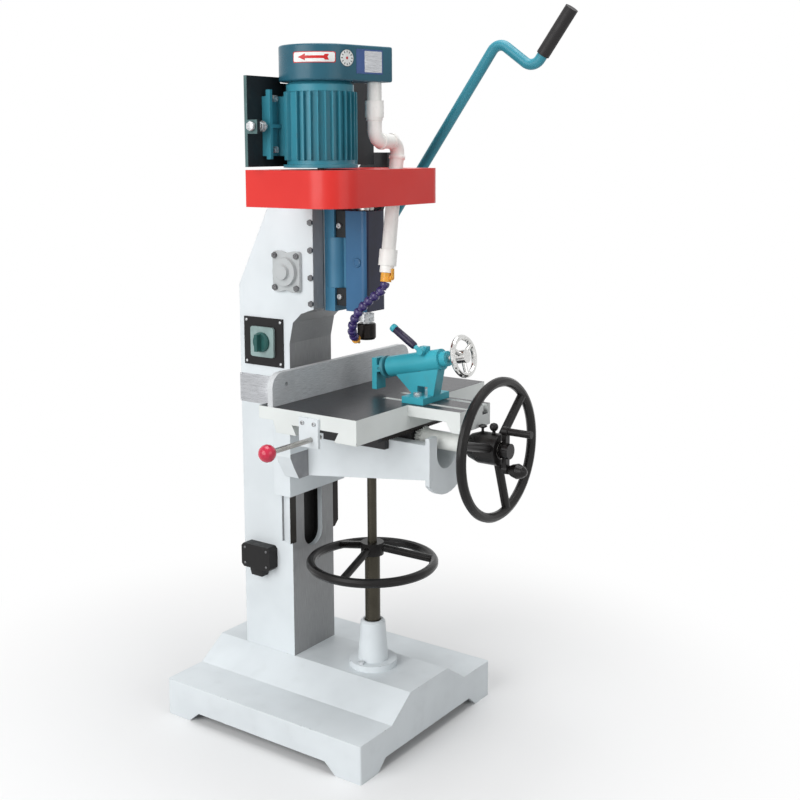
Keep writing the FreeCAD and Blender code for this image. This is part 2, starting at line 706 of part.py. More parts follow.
def make_lever():
    """The cranked hand lever in a plane beside the column: a long arm, a step and a grip."""
    angle = math.radians(s.lever_rise_angle.value)
    out = Vector(0, -math.cos(angle), math.sin(angle))
    step = Vector(0, -math.sin(angle), -math.cos(angle))
    hub = Vector(*[value.value for value in lever_at])
    start = hub + out * s.lever_hub_radius.value / 2
    bend = hub + out * s.lever_reach.value
    corner = bend + step * s.lever_offset.value
    end = corner + out * s.grip_length.value
    arm = bent_bar([start, bend, corner, corner + out * 34], 24, s.lever_radius.value)
    length = s.lever_hub_length.value
    left = hub - Vector(length / 2, 0, 0)
    boss = Part.makeCylinder(s.lever_hub_radius.value, length, left, Vector(1, 0, 0))
    bore = Part.makeCylinder(shaft_end_radius.value + s.running_fit.value, length, left, Vector(1, 0, 0))
    coded("lever_arm", arm.fuse(boss).cut(bore))
    grip = Part.makeCylinder(s.grip_radius.value, s.grip_length.value - 34, corner + out * 34, out)
    coded("lever_grip", grip)


make_lever()

# ---------------------------------------------------------------- slide and spindle head

head_z = (s.slide_foot, s.slide_top)
housing_rear = s.spindle_y + s.housing_half_depth
block_heights = ((s.lower_block_foot, s.lower_block_top), (s.upper_block_foot, s.housing_top))


def make_slide():
    """The dovetail slide: a plate with two square bosses and a round web between them, slotted
    behind for the rack."""
    body = new_piece("head_slide")
    half = s.slide_half_width
    rear_half = half + s.dovetail_flare
    face = s.column_head_face
    plate = face - s.slide_plate
    pad(body, "XY", [[(-half, plate), (half, plate), (half, face), (rear_half, slide_rear),
                      (-rear_half, slide_rear), (-half, face)]], *head_z)
    for low, high in ((s.slide_foot, s.lower_block_top), (s.upper_block_foot, s.slide_top)):
        pad(body, "XY", [block(-half, half, s.slide_front, plate)], low, high)
    middle = (s.lower_block_top, s.upper_block_foot)
    pad(body, "XY", [((0, s.web_y), half)], *middle)
    web = s.web_half_width
    pad(body, "XY", [block(-web, web, housing_rear, s.web_y)], *middle)
    slot = s.pinion_half_width + 1
    pocket(body, "XY", [block(-slot, slot, rack_seat, slide_rear)], *head_z)


def make_clamp_blocks():
    """The two black lugs that hold the housing to the slide."""
    body = new_piece("clamp_blocks")
    half = s.block_half_width
    for low, high in block_heights:
        pad(body, "XY", [block(-half, half, housing_rear, s.slide_front)], low, high)


make_slide()
make_clamp_blocks()


def make_housing():
    body = new_piece("spindle_housing", (0, s.spindle_y, 0))
    w = s.housing_half_width
    d = s.housing_half_depth
    pad(body, "XY", [block(-w, w, -d, d)], s.housing_foot, s.housing_top)
    round_edges(body, s.housing_corner, "z", [(-w, -d), (w, -d)])
    pad(body, "XY", [((0, 0), s.spigot_radius)], s.housing_top, s.housing_top + s.spigot_height)
    pocket(body, "XY", [((0, 0), s.bearing_radius + s.running_fit)], s.housing_foot, s.housing_top)
    pocket(body, "XY", [((0, 0), s.spindle_radius + s.air_gap)],
           s.housing_top, s.housing_top + s.spigot_height)


make_housing()
axis_at = (0, s.spindle_y, 0)
bearings = new_piece("spindle_bearings", axis_at)
for low in (s.housing_foot + 6, s.housing_top - 6 - s.bearing_height):
    pad(bearings, "XY", [((0, 0), s.bearing_radius), ], low, low + s.bearing_height)
pocket(bearings, "XY", [((0, 0), s.spindle_radius + s.running_fit)], s.housing_foot, s.housing_top)

pulley_low = s.belt_mid - s.pulley_half_height
pulley_high = s.belt_mid + s.pulley_half_height
turned("spindle", stack((s.spindle_radius, s.chuck_top, s.collar_foot),
                        (s.collar_radius, s.collar_foot, s.collar_top),
                        (s.spindle_radius, s.collar_top, pulley_high)), axis_at)
turned("chuck", [(s.chuck_bore, s.chuck_foot), (s.chuck_radius - 3, s.chuck_foot),
                 (s.chuck_radius, s.chuck_foot + 4), (s.chuck_radius, s.chuck_top - 2),
                 (s.chuck_radius - 2, s.chuck_top), (0, s.chuck_top),
                 (0, s.chuck_foot + s.chuck_bore_depth), (s.chuck_bore, s.chuck_foot + s.chuck_bore_depth)],
       axis_at)

# ---------------------------------------------------------------- belt drive


def pulley(name, radius, bore, at):
    """A V-grooved wheel; the groove leaves the air gap round the belt."""
    deep = radius + s.belt_stand_out - s.belt_depth - s.air_gap
    wide = s.belt_outer_half + s.air_gap
    narrow = s.belt_inner_half + s.air_gap
    mid = s.belt_mid
    turned(name, [(bore, pulley_low), (radius, pulley_low), (radius, mid - wide),
                  (deep, mid - narrow), (deep, mid + narrow), (radius, mid + wide),
                  (radius, pulley_high), (bore, pulley_high)], at)


pulley("spindle_pulley", s.spindle_pulley_radius, s.spindle_radius + s.running_fit, axis_at)
motor_at = (s.motor_x, s.spindle_y, 0)
pulley("motor_pulley", s.motor_pulley_radius, s.motor_shaft_radius + s.running_fit, motor_at)


def make_belt():
    """A V-belt round both pulleys, swept along its inner line."""
    z = s.belt_mid.value
    small = (s.spindle_pulley_radius + s.belt_stand_out - s.belt_depth).value
    large = (s.motor_pulley_radius + s.belt_stand_out - s.belt_depth).value
    distance = -s.motor_x.value
    lean = math.asin((large - small) / distance)
    y = s.spindle_y.value
    up = Vector(math.sin(lean), math.cos(lean), 0)
    down = Vector(math.sin(lean), -math.cos(lean), 0)
    big = Vector(s.motor_x.value, y, z)
    little = Vector(0, y, z)
    high = Vector(0, 0, 1)
    depth = s.belt_depth.value
    inner = s.belt_inner_half.value
    outer = s.belt_outer_half.value
    pieces = []
    for centre, radius, way, angle in ((big, large, up, 180 + 2 * math.degrees(lean)),
                                       (little, small, down, 180 - 2 * math.degrees(lean))):
        start = centre + way * radius
        corners = [start - high * inner, start + high * inner, start + way * depth + high * outer,
                   start + way * depth - high * outer, start - high * inner]
        section = Part.Face(Part.makePolygon(corners))
        pieces.append(section.revolve(centre, high, angle))
        run = (little + up * small) - (big + up * large)
        if way == down:
            run = (big + down * large) - (little + down * small)
        pieces.append(section.extrude(run))
    coded("drive_belt", pieces[0].fuse(pieces[1:]))


make_belt()


def make_cover():
    """A pressed cover, open below, round the belt and notched round the column."""
    body = new_piece("belt_cover")
    left, right, front, rear = s.cover_left, s.cover_right, s.cover_front, s.cover_rear
    wall = s.cover_wall
    n = s.notch_half_width
    notch = s.slide_front - s.air_gap
    plan = [(left, front), (right, front), (right, rear), (n, rear), (n, notch), (-n, notch),
            (-n, rear), (left, rear)]
    pad(body, "XY", [plan], s.cover_foot, s.cover_top)
    round_edges(body, s.cover_corner, "z", [(left, front)])
    round_edges(body, s.cover_right_corner, "z", [(right, front)])
    inner = [(left + wall, front + wall), (right - wall, front + wall), (right - wall, rear - wall),
             (n + wall, rear - wall), (n + wall, notch - wall), (-n - wall, notch - wall),
             (-n - wall, rear - wall), (left + wall, rear - wall)]
    tool = raw_body("cover_space")
    pad(tool, "XY", [inner], s.cover_foot - 10, s.cover_top - wall)
    round_edges(tool, s.cover_corner - wall, "z", [(left + wall, front + wall)])
    round_edges(tool, s.cover_right_corner - wall, "z", [(right - wall, front + wall)])
    SUB_PARTS.remove(body)
    pocket(body, "XY", [((s.motor_x, s.spindle_y), 20), ((pipe_cover_x, s.pipe_y), 24)],
           s.cover_top - wall, s.cover_top)
    body.Label = "cover_outside"
    sub_part(cut("belt_cover_shell", body, tool), "belt_cover")


pipe_lean = (s.pipe_turn_x - s.pipe_end_x) / (s.pipe_run_z - s.pipe_end_z)
pipe_cover_x = s.pipe_turn_x - pipe_lean * (s.pipe_run_z - s.cover_top)
make_cover()

# ---------------------------------------------------------------- motor and blower

plate_front = s.plate_rear - s.plate_thickness
plate = new_piece("motor_plate")
pad(plate, "XZ", [block(s.plate_left, s.plate_right, s.plate_foot, s.plate_top)], plate_front, s.plate_rear)
notch_half = s.cowl_notch_half
pocket(plate, "XZ", [block(s.motor_x - notch_half, s.motor_x + notch_half, s.motor_top - 1, s.plate_top)],
       plate_front, s.plate_rear)
lug_z = (s.plate_foot + s.plate_top) / 2 - 10
lug_face = block(s.plate_left, s.plate_left + 8, lug_z - 13, lug_z + 13)
pad(plate, "XZ", [lug_face], plate_front - 24, plate_front)
carrier = new_piece("motor_carrier")
cw = s.carrier_half_width
pad(carrier, "XZ", [[(-cw, s.slide_top), (cw, s.slide_top), (cw, s.plate_foot + 30),
                     (cw - 20, s.carrier_top), (-cw + 30, s.carrier_top), (-cw, s.plate_foot + 30)]],
    s.slide_front, plate_front)

foot_front = plate_front - s.foot_thickness


def make_motor_frame():
    """A finned tube with a foot plate, the bells at its ends."""
    body = new_piece("motor_frame", motor_at)
    low, high = s.fin_foot, s.fin_top
    foot_y = plate_front - s.spindle_y
    foot_in = foot_front - s.spindle_y
    pad(body, "XY", [((0, 0), s.motor_radius)], low, high)
    fw = s.foot_half_width
    pad(body, "XY", [block(-fw, fw, foot_in, foot_y)], low + 8, high - 8)
    leg = s.foot_leg_half
    pad(body, "XY", [block(-leg, leg, s.motor_radius / 2, foot_in)], low + 8, high - 8)
    rail_front = foot_in - s.foot_rail
    middle = (low + high) / 2
    for edge in (-fw, fw - s.foot_rail_width):
        pad(body, "XY", [block(edge, edge + s.foot_rail_width, rail_front, foot_in)], low + 2, high + 4)
    pad(body, "XY", [block(1 - fw, fw - 1, rail_front, foot_in + 2)], middle - 3.5, middle + 3.5)
    boss = s.tie_boss_half
    for angle in tie_angles:
        c, n = math.cos(math.radians(angle)), math.sin(math.radians(angle))
        near, far = s.motor_radius - 8, s.motor_radius + s.fin_height
        rib = [(near * c - boss * n, near * n + boss * c), (near * c + boss * n, near * n - boss * c),
               (far * c + boss * n, far * n - boss * c), (far * c - boss * n, far * n + boss * c)]
        pad(body, "XY", [rib], low, high)
    fin = body.newObject("PartDesign::Pad", "motor_fin")
    length = s.motor_radius + s.fin_height
    fin.Profile = outline(body, "XY", [block(-length, -s.motor_radius + 2, -s.fin_thickness / 2,
                                             s.fin_thickness / 2)], low, low)
    bind(fin, "Length", high - low)
    doc.recompute()
    pattern = body.newObject("PartDesign::PolarPattern", "motor_fins")
    pattern.Originals = [fin]
    pattern.Axis = (fin.Profile[0], ["N_Axis"])
    pattern.Angle = 212
    pattern.Reversed = False
    pattern.Occurrences = 19
    body.Tip = pattern
    doc.recompute()
    pocket(body, "XY", [((0, 0), s.motor_bore)], low, high)
    pocket(body, "XZ", [((x, z), 4.1) for x in motor_bolt_x for z in motor_bolt_z],
           foot_in, foot_y)


tie_angles = (-45, 150)
motor_bolt_x = (-62, 62)
motor_bolt_z = (1198, 1293)
make_motor_frame()
bolts("motor_bolts", [(x + s.motor_x, z) for x in motor_bolt_x for z in motor_bolt_z], 7, 6, 4,
      s.foot_thickness, (0, foot_front, 0), FACING_FRONT)
shaft_fit = s.motor_shaft_radius + s.running_fit
bells = new_piece("motor_bells", motor_at)
bell_radius = s.motor_radius + 2
revolve(bells, [(shaft_fit, s.motor_foot), (s.bell_flange, s.motor_foot), (s.bell_flange, s.motor_foot + 6),
                (bell_radius, s.motor_foot + 6), (bell_radius, s.fin_foot), (shaft_fit, s.fin_foot)])
revolve(bells, [(shaft_fit, s.fin_top), (bell_radius, s.fin_top), (bell_radius, s.motor_top - 6),
                (bell_radius - 6, s.motor_top), (shaft_fit, s.motor_top)])
turned("stator", ring(s.rotor_radius + s.air_gap, s.motor_bore - s.running_fit, s.fin_foot + 25,
                      s.fin_top - 25), motor_at)
rotor_low = s.fin_foot + 27
rotor_high = s.fin_top - 27
turned("motor_rotor", stack((s.motor_shaft_radius, pulley_low, rotor_low),
                            (s.rotor_radius, rotor_low, rotor_high),
                            (s.motor_shaft_radius, rotor_high, s.cowl_top - 12)), motor_at)


def make_cowl():
    """The blower scroll on top of the motor: a round drum with a tangential snout."""
    body = raw_body("cowl_outside", motor_at)
    inside = raw_body("cowl_inside", motor_at)
    low, high = s.motor_top, s.cowl_top
    for target, shrink in ((body, Size(0)), (inside, s.cowl_wall)):
        radius = s.cowl_radius - shrink
        foot = low + shrink
        top = high - shrink
        pad(target, "XY", [((0, 0), radius)], foot, top)
        lean = s.snout_angle
        near_x = radius * sine(lean)
        near_y = radius * cosine(lean)
        wide = s.snout_width - 2 * shrink
        out_x = -near_x + (s.snout_length - shrink) * cosine(lean)
        out_y = -near_y - (s.snout_length - shrink) * sine(lean)
        snout = [(-near_x, -near_y), (out_x, out_y),
                 (out_x + wide * sine(lean), out_y + wide * cosine(lean)), (0, 0)]
        pad(target, "XY", [snout], foot, top)
    pocket(body, "XY", [((s.pipe_drop_x - s.motor_x, s.pipe_y - s.spindle_y), s.pipe_radius - s.pipe_wall)],
           low, low + s.cowl_wall + 1)
    pocket(body, "XY", [((0, 0), s.motor_shaft_radius + 1)], low, low + s.cowl_wall + 1)
    sub_part(cut("blower_cowl_shell", body, inside), "blower_cowl")


make_cowl()
impeller_low = s.motor_top + s.cowl_wall + 6
impeller = turned("blower_impeller",
                  ring(shaft_fit, s.impeller_radius, impeller_low, impeller_low + 3), motor_at)
for step in range(8):
    turn_angle = math.radians(45 * step)
    c, n = math.cos(turn_angle), math.sin(turn_angle)
    inner, outer = s.impeller_radius / 3, s.impeller_radius - 1
    pad(impeller, "XY", [[(inner * c - n, inner * n + c), (inner * c + n, inner * n - c),
                          (outer * c + n, outer * n - c), (outer * c - n, outer * n + c)]],
        impeller_low + 2, s.cowl_top - s.cowl_wall - 6)

# ---------------------------------------------------------------- air pipe and hose

pipe_points = [(s.pipe_drop_x, s.pipe_y, s.motor_top), (s.pipe_drop_x, s.pipe_y, s.pipe_run_z),
               (s.pipe_turn_x, s.pipe_y, s.pipe_run_z), (s.pipe_end_x, s.pipe_y, s.pipe_end_z)]
outside = bent_bar(pipe_points, s.pipe_bend.value, s.pipe_radius.value)
inside = bent_bar(pipe_points, s.pipe_bend.value, (s.pipe_radius - s.pipe_wall).value)


pipe_end = Vector(*[value.value for value in pipe_points[3]])
pipe_turn = Vector(*[value.value for value in pipe_points[2]])
pipe_down = (pipe_end - pipe_turn).normalize()
drop = Vector(0, 0, -1)
upper_socket = Vector(s.pipe_drop_x.value, s.pipe_y.value, s.socket_top.value)
lower_socket = pipe_end - pipe_down * 46
socket = (s.socket_radius.value, s.socket_length.value)
for start, way in ((upper_socket, drop), (lower_socket, pipe_down)):
    outside = outside.fuse(Part.makeCylinder(*socket, start, way))
coded("air_pipe", outside.cut(inside))
valve_body = Part.makeCylinder(s.valve_radius.value, s.valve_length.value, pipe_end, pipe_down)
coded("air_valve", valve_body)
valve_tip = pipe_end + pipe_down * s.valve_length.value
lever_root = pipe_end + pipe_down * 9 + Vector(0, -11.3, 0)
valve_lever = Part.makeCylinder(5, 5, lever_root, Vector(0, -1, 0))
valve_lever = valve_lever.fuse(Part.makeBox(6, 3, 18, lever_root + Vector(-3, -6.5, 0)))
coded("valve_lever", valve_lever)
hose_points = [valve_tip, valve_tip + pipe_down * 12, Vector(-42, -163, 914),
               Vector(-56, -140, 893), Vector(-64, -124, 868), Vector(-60, -112, 842),
               Vector(-50, -108, 828), Vector(-38, -106, 820)]
coded("air_hose", bent_bar(hose_points, 12, s.hose_radius.value))
nozzle_way = (hose_points[-1] - hose_points[-2]).normalize()
coded("air_nozzle", Part.makeCone(s.hose_radius.value, s.nozzle_radius.value, s.nozzle_length.value,
                                  hose_points[-1], nozzle_way))

# ---------------------------------------------------------------- knee and elevating screw


def make_knee():
    """The bracket that slides on the column and carries the saddle on its troughed arm."""
    body = new_piece("knee")
    gap = s.slide_gap
    face = s.column_knee_face - gap
    w = s.column_half_width
    lean = s.way_lean
    left = w + s.way_stand_out + gap
    right = w + s.keeper_width + gap
    deep = s.column_knee_face + s.way_depth
    rear = s.cheek_rear
    plan = [(-s.back_left, s.back_front), (-s.back_left, rear), (-w - gap, rear),
            (-w - gap, deep - gap), (-left + lean, deep - gap), (-left, face), (right, face),
            (right - lean, deep + gap), (w + gap, deep + gap), (w + gap, rear),
            (s.back_right, rear), (s.back_right, s.back_front)]
    pad(body, "XY", [plan], s.knee_foot, s.knee_top)
    half_root = [(s.root_foot_half_width, s.root_foot), (s.root_shoulder_half, s.root_shoulder),
                 (s.root_half_width, s.root_edge), (s.root_half_width, s.knee_top)]
    root = [(-x, z) for x, z in reversed(half_root)] + half_root
    pad(body, "XZ", [root], s.root_front, face)
    arm_rear = s.root_front + 2
    arm = [(arm_rear, s.root_foot), (arm_rear, s.knee_top), (s.arm_front, s.knee_top),
           (s.arm_front, s.arm_foot_front)]
    arm_half = s.arm_half_width
    pad(body, "YZ", [arm], -arm_half, arm_half)
    half_angle = math.asin(arm_half.value / s.nose_radius.value)
    nose = [(s.nose_radius * math.sin(half_angle * step / 4),
             s.nose_foot + s.nose_radius * (1 - math.cos(half_angle * step / 4)))
            for step in range(-4, 5)]
    nose += [(arm_half, s.nose_top), (-arm_half, s.nose_top)]
    pad(body, "XZ", [nose], s.arm_front, s.arm_front + s.nose_length)
    axis_z = s.trough_axis_z
    trough = s.trough_radius
    trough_rear = s.root_front + 12
    pocket(body, "XZ", [block(-trough, trough, axis_z, s.nose_top)], s.arm_front, trough_rear)
    pocket(body, "XZ", [((0, axis_z), trough)], s.arm_front, trough_rear)
    pocket(body, "XY", [((0, s.screw_y), s.screw_neck_radius + s.running_fit)],
           s.root_foot, s.screw_top + 2)


make_knee()
screw_at = (0, s.screw_y, 0)
turned("elevating_screw", stack((s.screw_radius, s.screw_foot, s.screw_shoulder),
                                (s.screw_neck_radius, s.screw_shoulder, s.screw_top)), screw_at)


def make_pedestal():
    """The screw's nut, standing on the base on a flange with two ears."""
    body = new_piece("screw_pedestal", screw_at)
    bore = s.screw_radius + s.running_fit
    flange_top = hump_top + s.pedestal_flange
    revolve(body, [(bore, hump_top), (s.pedestal_flange_half, hump_top),
                   (s.pedestal_flange_half, flange_top),
                   (s.pedestal_foot_radius, flange_top), (s.pedestal_radius, s.pedestal_top - 4),
                   (s.pedestal_radius - 4, s.pedestal_top), (bore, s.pedestal_top)])
    pocket(body, "XY", [(spot, 3.2) for spot in pedestal_spots], hump_top, flange_top)


pedestal_spots = [(-41, 0), (41, 0)]
make_pedestal()
pedestal_bolts = raw_body("pedestal_bolts", (0, s.screw_y, hump_top + s.pedestal_flange))
add_bolts(pedestal_bolts, pedestal_spots, 6.5, 5, 3, s.pedestal_flange)
frame_bolts = doc.addObject("Part::Compound", "frame_bolts")
frame_bolts.Links = [column_bolts, pedestal_bolts]
sub_part(frame_bolts, "frame_bolts")


def rim_profile(radius, tube, height):
    """A round rim's section as ten straight facets."""
    middle = radius - tube
    points = []
    for step in range(10):
        angle = math.radians(36 * step + 18)
        points.append((middle + tube * math.cos(angle), height + tube * math.sin(angle)))
    return points


def spoke(inner, outer, angle, radius, at, turn):
    """A round spoke in the wheel's own frame: (radius, height) at each end."""
    c = math.cos(math.radians(angle))
    n = math.sin(math.radians(angle))
    first = Vector(inner[0].value * c, inner[0].value * n, Size.of(inner[1]).value)
    last = Vector(outer[0].value * c, outer[0].value * n, Size.of(outer[1]).value)
    shape = Part.makeCylinder(radius, (last - first).Length, first, last - first)
    place_now = FreeCAD.Placement(Vector(*[Size.of(value).value for value in at]), turn)
    shape.Placement = place_now.multiply(shape.Placement)
    return shape


def handwheel(name, rim, hub, bore, spokes, at, turn):
    """A cast wheel: rim and hub turned about Z, joined by round spokes."""
    hub_body = raw_turned(name + "_hub", hub, at, turn)
    rim_body = raw_turned(name + "_rim", rim, at, turn)
    pieces = [hub_body, rim_body]
    for inner, outer, angle, radius in spokes:
        arm = doc.addObject("Part::Feature", name + "_spoke")
        arm.Shape = spoke(inner, outer, angle, radius, at, turn)
        pieces.append(arm)
    whole = fuse(name + "_whole", pieces)
    if bore is None:
        return sub_part(whole, name)
    hole = cylinder(name + "_hole", bore, -200, 900, at, turn)
    return sub_part(cut(name + "_cast", whole, hole), name)


lower_rim = rim_profile(s.lower_wheel_radius, s.rim_radius, s.lower_wheel_z)
hub_low_z = s.screw_shoulder
hub_mid_z = (s.screw_shoulder + s.lower_hub_top) / 2
hub_profile = stack((s.lower_hub_radius, hub_low_z, s.lower_hub_top))
handwheel("knee_handwheel", lower_rim, hub_profile, s.screw_neck_radius + s.running_fit,
          [((s.lower_hub_radius - 6, hub_mid_z), (s.lower_wheel_radius - s.rim_radius, s.lower_wheel_z),
            angle, 8) for angle in (-50, 69, 188)],
          screw_at, UPRIGHT)

# ---------------------------------------------------------------- saddle and its two feeds

saddle_top = s.table_foot - s.slide_gap
way_rear = s.table_front + s.front_rail + s.table_way_width
way_front = s.table_front + s.front_rail


def make_saddle():
    """The block that slides along the knee and carries the table's dovetail."""
    body = new_piece("saddle")
    w = s.saddle_half_width
    low = s.knee_top + s.slide_gap
    arm = s.arm_half_width + s.slide_gap
    trough = s.trough_radius + 2
    section = [(-w, low), (-w, saddle_top), (w, saddle_top), (w, low), (arm + s.saddle_cheek, low),
               (arm + s.saddle_cheek, low - s.saddle_cheek_drop), (arm, low - s.saddle_cheek_drop),
               (arm, low), (trough, low), (trough, saddle_top - 6), (-trough, saddle_top - 6),
               (-trough, low), (-arm, low), (-arm, low - s.saddle_cheek_drop),
               (-arm - s.saddle_cheek, low - s.saddle_cheek_drop), (-arm - s.saddle_cheek, low)]
    pad(body, "XZ", [section], s.saddle_front, s.saddle_rear)
    pocket(body, "XZ", [block(-w, w, low - s.saddle_cheek_drop, low)], s.cheek_end, s.saddle_rear)
    gap = s.slide_gap
    flare = s.table_way_flare
    rise = saddle_top + s.table_way_height
    tail = [(way_front + gap, saddle_top - 2), (way_front + gap, saddle_top),
            (way_front + gap - flare, rise), (way_rear - gap + flare, rise),
            (way_rear - gap, saddle_top), (way_rear - gap, saddle_top - 2)]
    pad(body, "YZ", [tail], -w, w)
    block_half = s.trough_radius - 1.5
    pad(body, "XZ", [block(-block_half, block_half, s.trough_axis_z - 6, saddle_top - 6)],
        s.bearing_block_front, s.saddle_front + 4)
    pocket(body, "XZ", [((0, s.feed_shaft_z), s.feed_tube_radius + s.running_fit)],
           s.bearing_block_front, s.saddle_front + 4)


make_saddle()
feed_at = (0, 0, s.feed_shaft_z)
tube_bore = s.cross_screw_radius + s.air_gap
cross_screw = cylinder("cross_screw_bar", s.cross_screw_radius, -s.cross_screw_rear, -s.crank_front,
                       feed_at, FACING_FRONT)
nut = new_piece("cross_nut", feed_at, FACING_FRONT)
pad(nut, "XY", [((0, s.trough_axis_z - s.feed_shaft_z), s.trough_radius - s.air_gap)],
    -s.nut_rear, -s.nut_front)
pocket(nut, "XY", [((0, 0), s.cross_screw_radius + s.running_fit)], -s.nut_rear, -s.nut_front)


def make_table_gears():
    """The rack under the table's front rail and the pinion on the feed shaft."""
    module = s.table_module.value
    teeth = round(s.table_teeth.value)
    length = s.pinion_length.value
    axis = Vector(0, s.pinion_front.value + length, s.feed_shaft_z.value)
    gear = spur_gear(module, teeth, s.backlash.value, tube_bore.value, length)
    gear.Placement = frame_of(Vector(0, 0, 1), Vector(1, 0, 0), axis - Vector(0, length, 0))
    rear = -2 + s.saddle_front.value
    tube_length = rear - s.wheel_hub_front.value
    front = Vector(0, s.wheel_hub_front.value, s.feed_shaft_z.value)
    tube = Part.makeCylinder(s.feed_tube_radius.value, tube_length, front, Vector(0, 1, 0))
    tube = tube.cut(Part.makeCylinder(tube_bore.value, tube_length, front, Vector(0, 1, 0)))
    coded("table_feed_shaft", tube.fuse(gear))
    pitch_line = axis.z + pinion_centre_distance(module, teeth)
    backing = s.table_foot.value - pitch_line - 1.25 * module
    half = s.rack_half_length.value
    rack = rack_bar(module, -half, half, backing, s.backlash.value, length)
    rack.Placement = frame_of(Vector(1, 0, 0), Vector(0, 0, -1),
                              Vector(0, axis.y - length, pitch_line))
    coded("table_rack", rack)


make_table_gears()
wheel_at = (0, s.wheel_y, s.feed_shaft_z)
hub_rear = s.wheel_y - s.wheel_hub_rear
hub_front = s.wheel_y - s.wheel_hub_front
handwheel("table_handwheel", rim_profile(s.wheel_radius, s.rim_radius, 0),
          [(0, hub_rear), (s.feed_tube_radius + 7, hub_rear), (s.wheel_hub_radius, hub_rear + 20),
           (s.wheel_hub_radius, hub_front), (0, hub_front)],
          s.feed_tube_radius + s.running_fit,
          [((s.wheel_hub_radius - 5, -4), (s.wheel_radius - s.rim_radius, 0), angle, 8.5)
           for angle in (45, 165, 285)],
          wheel_at, FACING_FRONT)

crank = raw_body("crank_arm", feed_at, FACING_FRONT)
crank_low = -s.wheel_hub_front + 2
crank_high = -s.crank_front
pad(crank, "XY", [((0, 0), s.crank_hub_radius)], crank_low, crank_high + 4)
pad(crank, "XY", [block(-7, 7, -s.crank_arm + 2, s.crank_arm)], crank_low + 3, crank_high - 2)
pad(crank, "XY", [((0, s.crank_arm), 9), ((0, -s.crank_arm + 2), 9)], crank_low + 2, crank_high)
pad(crank, "XY", [((0, s.crank_arm), s.crank_bar_radius)], crank_high, -s.crank_bar_end)
egg = raw_turned("crank_egg", [(0, -2), (7, -2), (7, 0), (s.egg_radius - 3, 9), (s.egg_radius, 20),
                               (s.egg_radius - 4, 32), (6, 38), (0, 40)],
                 (0, s.crank_front, s.feed_shaft_z - s.crank_arm + 2), FACING_FRONT)
sub_part(fuse("crank_whole", [cross_screw, crank, egg]), "cross_crank")

# ---------------------------------------------------------------- table, fence and stop


def make_table():
    """The worktable: a ground plate on two rails, with a front extension and two T-slots."""
    body = new_piece("table")
    top = s.table_top
    foot = s.table_foot
    under = top - s.table_plate
    f, r = s.table_front, s.table_rear
    flare = s.table_way_flare
    roof = foot + s.table_way_height
    rail_end = way_rear + s.rear_rail
    section = [(f, foot), (f, top), (r, top), (r, under), (rail_end + 8, under), (rail_end, foot),
               (way_rear, foot), (way_rear + flare, roof), (way_front - flare, roof), (way_front, foot)]
    pad(body, "YZ", [section], -s.table_half_length, s.table_half_length)
    front = s.extension_front
    nose = [(front, top - s.lip_depth), (front, top), (f + 2, top), (f + 2, top - s.extension_thickness),
            (front + s.lip_length + 12, top - s.extension_thickness),
            (front + s.lip_length, top - s.lip_depth)]
    pad(body, "YZ", [nose], s.extension_left, s.extension_right)
    half = s.tslot_half_width
    foot_half = s.tslot_foot_half
    slot_foot = top - s.tslot_depth
    for centre in (-s.tslot_spacing / 2, s.tslot_spacing / 2):
        pocket(body, "XY", [block(centre - half, centre + half, front, s.tslot_rear)], slot_foot, top)
        pocket(body, "XY", [block(centre - foot_half, centre + foot_half, front, s.tslot_rear)],
               slot_foot - s.tslot_foot_depth, slot_foot)


make_table()


def make_fence():
    body = new_piece("fence")
    low = s.table_top
    high = s.table_top + s.fence_height
    pad(body, "XZ", [block(s.fence_left, s.fence_right, low, high)],
        s.fence_front, s.fence_front + s.fence_thickness)
    round_edges(body, s.fence_corner, "y", [(s.fence_left, high), (s.fence_right, high)])
    pocket(body, "XZ", [((s.fence_hole_x, low + s.fence_hole_rise), s.fence_hole_radius)],
           s.fence_front, s.fence_front + s.fence_thickness)
    return body


fence = make_fence()
fence_rear = s.fence_front + s.fence_thickness
angle_iron = [(fence_rear, s.table_top), (fence_rear, s.table_top + 40), (fence_rear + 6, s.table_top + 40),
              (fence_rear + 6, s.table_top + 6), (s.table_rear, s.table_top + 6), (s.table_rear, s.table_top)]
pad(fence, "YZ", [angle_iron], -s.bracket_x - 30, -s.bracket_x)
pad(fence, "YZ", [angle_iron], s.bracket_x, s.bracket_x + 30)

end_x = -s.table_half_length
stop_plate = new_piece("stop_plate")
pad(stop_plate, "YZ", [block(s.stop_y - 18, s.stop_y + 29, s.stop_z - 16, s.stop_z + 41)], end_x - 6, end_x)
pocket(stop_plate, "YZ", [((s.stop_y, s.stop_z), s.stop_radius + s.running_fit)], end_x - 6, end_x)
stop_at = (0, s.stop_y, s.stop_z)
turned("stop_rod", stack((s.stop_radius, s.ball_x + 4, s.stop_end)), stop_at, ALONG_X)
ball_profile = [(s.stop_radius + s.running_fit, -15.7)]
ball_profile += [(s.ball_radius * math.cos(math.radians(a)), s.ball_radius * math.sin(math.radians(a)))
                 for a in range(-65, 90, 20)]
ball_profile += [(0, s.ball_radius), (0, 4), (s.stop_radius + s.running_fit, 4)]
turned("stop_ball", ball_profile, (s.ball_x, s.stop_y, s.stop_z), FACING_LEFT)

# ---------------------------------------------------------------- work clamp

clamp_turn = Rotation(Vector(1, 0, 0), -90 - s.clamp_tilt.value)
clamp_axis_z = s.table_top + s.clamp_wheel_rise
clamp_at = (0, s.clamp_wheel_y, clamp_axis_z)


def along_clamp(station, rise=0):
    """World (y, z) of a point on the clamp's axis, or a distance above it."""
    y = s.clamp_wheel_y + station * cosine(s.clamp_tilt) + rise * sine(s.clamp_tilt)
    z = clamp_axis_z - station * sine(s.clamp_tilt) + rise * cosine(s.clamp_tilt)
    return y, z


